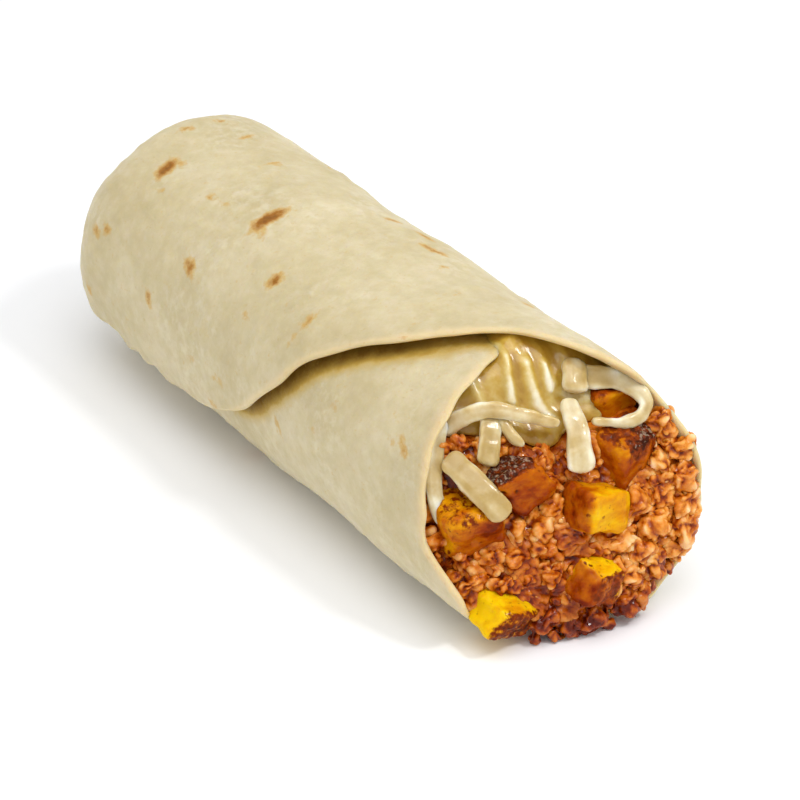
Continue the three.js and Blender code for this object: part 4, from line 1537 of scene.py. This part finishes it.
    def scatter(self, kind: CrumbKind, draw: Draw, taken: list[Place], plantain: Plantain,
                cheese: Cheese) -> list[Crumb]:
        """Scatters the crumbs of one kind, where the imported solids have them.

        Args:
            kind: The kind.
            draw: The random draw.
            taken: The crumbs so far, to which these are added.
            plantain: The chunks that they lie between.
            cheese: The cheese over them.

        Returns:
            The crumbs.
        """
        kept_clear = [
            (c.at[1], c.at[2], (c.size[1] + kind.size) / 2 - self.chunk_overlap) for c in plantain.chunks
        ]
        kept_clear += [
            (y, z - AXIS_HEIGHT, (shred.width + kind.size) / 2)
            for shred in cheese.shreds for _, y, z in cheese.curve(shred)[:: self.shred_stride]
        ]
        crumbs: list[Crumb] = []
        for _ in range(self.tries):
            if len(crumbs) >= kind.count:
                break
            y, height = self.anywhere(1 - self.sunk * kind.size / ROLL.half_width, draw)
            others = ((oy, oh, self.spacing * (other + kind.size)) for oy, oh, other in taken)
            under_cheese = height <= cheese.floor + self.crumb_bow * y * y - cheese.lip(y) - 1
            if not under_cheese or within(y, height, others) or within(y, height, kept_clear):
                continue
            sizes = tuple(kind.size * (least + more * draw()) for least, more in self.crumb_sizes)
            crumbs.append(self.put(y, height, sizes, self.crumb_corners, 2 * math.pi, draw))
            taken.append(crumbs[-1].across)
        return crumbs

    def sprinkle(self, draw: Draw, taken: Sequence[Place], plantain: Plantain, cheese: Cheese) -> list[Crumb]:
        """Fine grains between and on the crumbs.

        Args:
            draw: The random draw.
            taken: The crumbs.
            plantain: The chunks that the grains lie between.
            cheese: The cheese over them.

        Returns:
            The grains.
        """
        kept_clear = [(c.at[1], c.at[2], 0.5 * c.size[1] - 0.3) for c in plantain.chunks]
        kept_clear += [(y, height, self.crumb_clearance * size) for y, height, size in taken]
        least_size, more_size = self.grain_range
        grains: list[Crumb] = []
        for _ in range(self.tries):
            if len(grains) >= self.grains.count:
                break
            size = self.grains.size * (least_size + more_size * draw())
            y, height = self.anywhere(self.grain_reach, draw)
            placed = (grain.across for grain in grains)
            others = ((oy, oh, self.grain_spacing * (size + other)) for oy, oh, other in placed)
            under_cheese = height <= cheese.floor_at(y) - 0.3
            if not under_cheese or within(y, height, others) or within(y, height, kept_clear):
                continue
            sizes = tuple(size * (least + more * draw()) for least, more in self.grain_sizes)
            grain = self.put(y, height, sizes, 0, 2 * math.pi, draw)
            grain.middle.x -= (self.grain_sunk - self.sunk) * max(sizes)
            grains.append(grain)
        return grains

    def heap(self, crumbs: Sequence[Crumb], cuts: int) -> Draft:
        """Crumbs of one kind, each an uneven lump of minced grains.

        Args:
            crumbs: The crumbs.
            cuts: How many cuts each side of a crumb has.

        Returns:
            All of them in one mesh.
        """
        shape = bmesh.new()
        block, places = rounded_cube(1, cuts, self.roundness)
        block.points = places
        for crumb in crumbs:
            matrix = Matrix.Translation(crumb.middle) @ crumb.turn @ Matrix.Diagonal((*crumb.sizes, 1))
            before = len(shape.verts)
            shape.from_mesh(block.mesh)
            shape.verts.ensure_lookup_table()
            bmesh.ops.transform(shape, matrix=matrix, verts=shape.verts[before:])
        bpy.data.meshes.remove(block.mesh)
        owner = np.repeat(np.arange(len(crumbs)), len(shape.verts) // len(crumbs))
        draft = Draft(shape)
        points, normals = draft.points, draft.normals()
        size = np.array([max(crumb.sizes) for crumb in crumbs])[owner]
        middles = np.array([tuple(crumb.middle) for crumb in crumbs])[owner]
        turned = np.array([np.array(crumb.turn.to_3x3()) for crumb in crumbs])[owner]
        own = np.einsum("nij,ni->nj", turned, points - middles) + owner[:, None] * self.own_shift
        lumpy = soft_noise(own / size[:, None], 0.5, 12)
        relief, crest = minced(own)
        out = size * 0.26 * lumpy + relief * np.minimum(1, size / 4.5) - 0.1
        places = points + normals * out[:, None]
        places[:, 2] = np.maximum(places[:, 2], ROLL.gap)
        draft.points = places
        tone = np.array([(0.95 - number * 0.618) % 1 for number in range(len(crumbs))])[owner]
        # Painted shade with the sauce: crests darker towards the bottom
        crest = clamp01(crest + 0.25 * lumpy - 0.24 * smooth(15, 3, places[:, 2]))
        draft.paint(crest=crest, tone=shade(0.12 + 0.6 * tone, places))
        return draft


def shade(tone: Array, places: Array) -> Array:
    """How pale the beef is: paler towards the roof's side with painted light, and darker at the bottom with
    painted shade and the sauce.
    """
    return clamp01(tone + 0.4 * smooth(0, 22, places[:, 1]) - 0.5 * smooth(12, 3, places[:, 2]))


def minced(points: Array) -> tuple[Array, Array]:
    """The surface of minced meat: short uneven strands pressed together, with creases between.

    Args:
        points: Places to read it at, one row each.

    Returns:
        Its relief in millimetres, about -1 to 1, and how near each point is to a crest, 0 to 1, which the
        colour takes as painted light on crests and painted shade in creases.
    """
    bent = (points + 0.9 * warp(points, 2.6, 31)) * (1, 0.7, 1)
    strands = creases(bent, STRAND_SIZE, 4)
    lumps = np.array([noise.turbulence(Vector(p) / LUMP_SIZE, 2, True) for p in bent])
    knobs = np.array([noise.turbulence(Vector(p) / KNOB_SIZE, 1, True) for p in bent + 40])
    relief = 1.55 * (lumps - 0.36) + 0.4 * (strands - 0.55) + 0.85 * (knobs - 0.25)
    return relief, clamp01(0.8 * lumps + 0.9 * knobs + 0.3 * (strands - 0.6) - 0.06)


# The camera, the floor and the light


@dataclass(frozen=True)
class Lamp:
    """A soft lamp, placed as the camera sees it: to its right, up over the floor, and towards it."""

    name: str
    sideways: float
    upward: float
    toward: float
    width: float
    watts: float


@dataclass
class Studio:
    """A plain pale floor, soft light, and the camera at the photograph's viewing angle."""

    azimuth: float = 57.547
    elevation: float = 29.0
    distance: float = 774.718
    focal_pixels: float = 3812.39
    target: Place = (-3.6, 0.65, AXIS_HEIGHT)
    target_pixel: tuple[float, float] = (357.744, 354.981)
    image_pixels: float = 800.0
    sensor: float = 36.0
    floor_half_width: float = 4.0  # metres
    sky: float = 0.78
    lamps: Sequence[Lamp] = (
        Lamp("softbox", 0, 840, 330, 640, 2.6),
        Lamp("spark", 420, 700, 260, 150, 1.9),
    )

    def directions(self) -> tuple[Vector, Vector, Vector]:
        """How the camera is turned.

        Returns:
            Its right, up and back directions.
        """
        a, e = self.azimuth * DEG, self.elevation * DEG
        back = Vector((math.sin(a) * math.cos(e), -math.cos(a) * math.cos(e), math.sin(e)))
        right = Vector((math.cos(a), math.sin(a), 0))
        return right, back.cross(right), back

    def camera(self) -> None:
        """Sets the camera up."""
        right, up, back = self.directions()
        data = bpy.data.cameras.new("camera")
        data.sensor_width = self.sensor
        data.lens = self.focal_pixels * self.sensor / self.image_pixels
        data.clip_start = 0.05
        middle = self.image_pixels / 2
        data.shift_x = (middle - self.target_pixel[0]) / self.image_pixels
        data.shift_y = (self.target_pixel[1] - middle) / self.image_pixels
        camera = show("camera", data)
        turn = Matrix((right, up, back)).transposed().to_4x4()
        place = (Vector(self.target) + back * self.distance) * MM
        camera.matrix_world = Matrix.Translation(place) @ turn
        bpy.context.scene.camera = camera

    def floor(self) -> None:
        """Lays the floor, a white board with the faintest unevenness."""
        shape = bmesh.new()
        bmesh.ops.create_grid(shape, x_segments=2, y_segments=2, size=self.floor_half_width)
        mesh = Draft(shape).mesh
        mesh.name = "floor"
        finish = Finish("white_board", Gloss(0.9, 0.1))
        stops = ((0.3, "#F7F8FA"), (0.7, "#F8F9FB"))
        board = finish.add("ShaderNodeValToRGB", {"Fac": finish.grain(400, 2)}, stops=stops)
        mesh.materials.append(finish.dress(board))
        floor = show("floor", mesh)

    def hang(self, lamp: Lamp) -> None:
        """Hangs a lamp, turned to the burrito.

        Args:
            lamp: The lamp.
        """
        right, _, back = self.directions()
        level = Vector((back.x, back.y, 0)).normalized()
        data = bpy.data.lights.new(lamp.name, "AREA")
        data.shape = "DISK"
        data.size = lamp.width * MM
        data.energy = lamp.watts
        light = show(lamp.name, data)
        place = (right * lamp.sideways + level * lamp.toward + Vector((0, 0, lamp.upward))) * MM
        light.location = place
        light.rotation_euler = place.to_track_quat("Z", "Y").to_euler()

    def build(self) -> None:
        """Sets everything up."""
        self.camera()
        self.floor()
        for lamp in self.lamps:
            self.hang(lamp)
        world = bpy.data.worlds.new("sky")
        world.use_nodes = True
        background = world.node_tree.nodes["Background"]
        background.inputs["Color"].default_value = linear("#FFFFFF")
        background.inputs["Strength"].default_value = self.sky
        bpy.context.scene.world = world
        bpy.context.scene.view_settings.view_transform = "Standard"


def main() -> None:
    """Builds the burrito piece by piece, and then the studio round it."""
    logging.basicConfig(level=logging.INFO, format="%(name)s: %(message)s")
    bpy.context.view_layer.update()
    plantain, cheese = Plantain(), Cheese()
    Tortilla().build()
    plantain.build()
    cheese.build()
    GroundBeef().build(plantain, cheese)
    Studio().build()


if __name__ == "__main__":
    main()
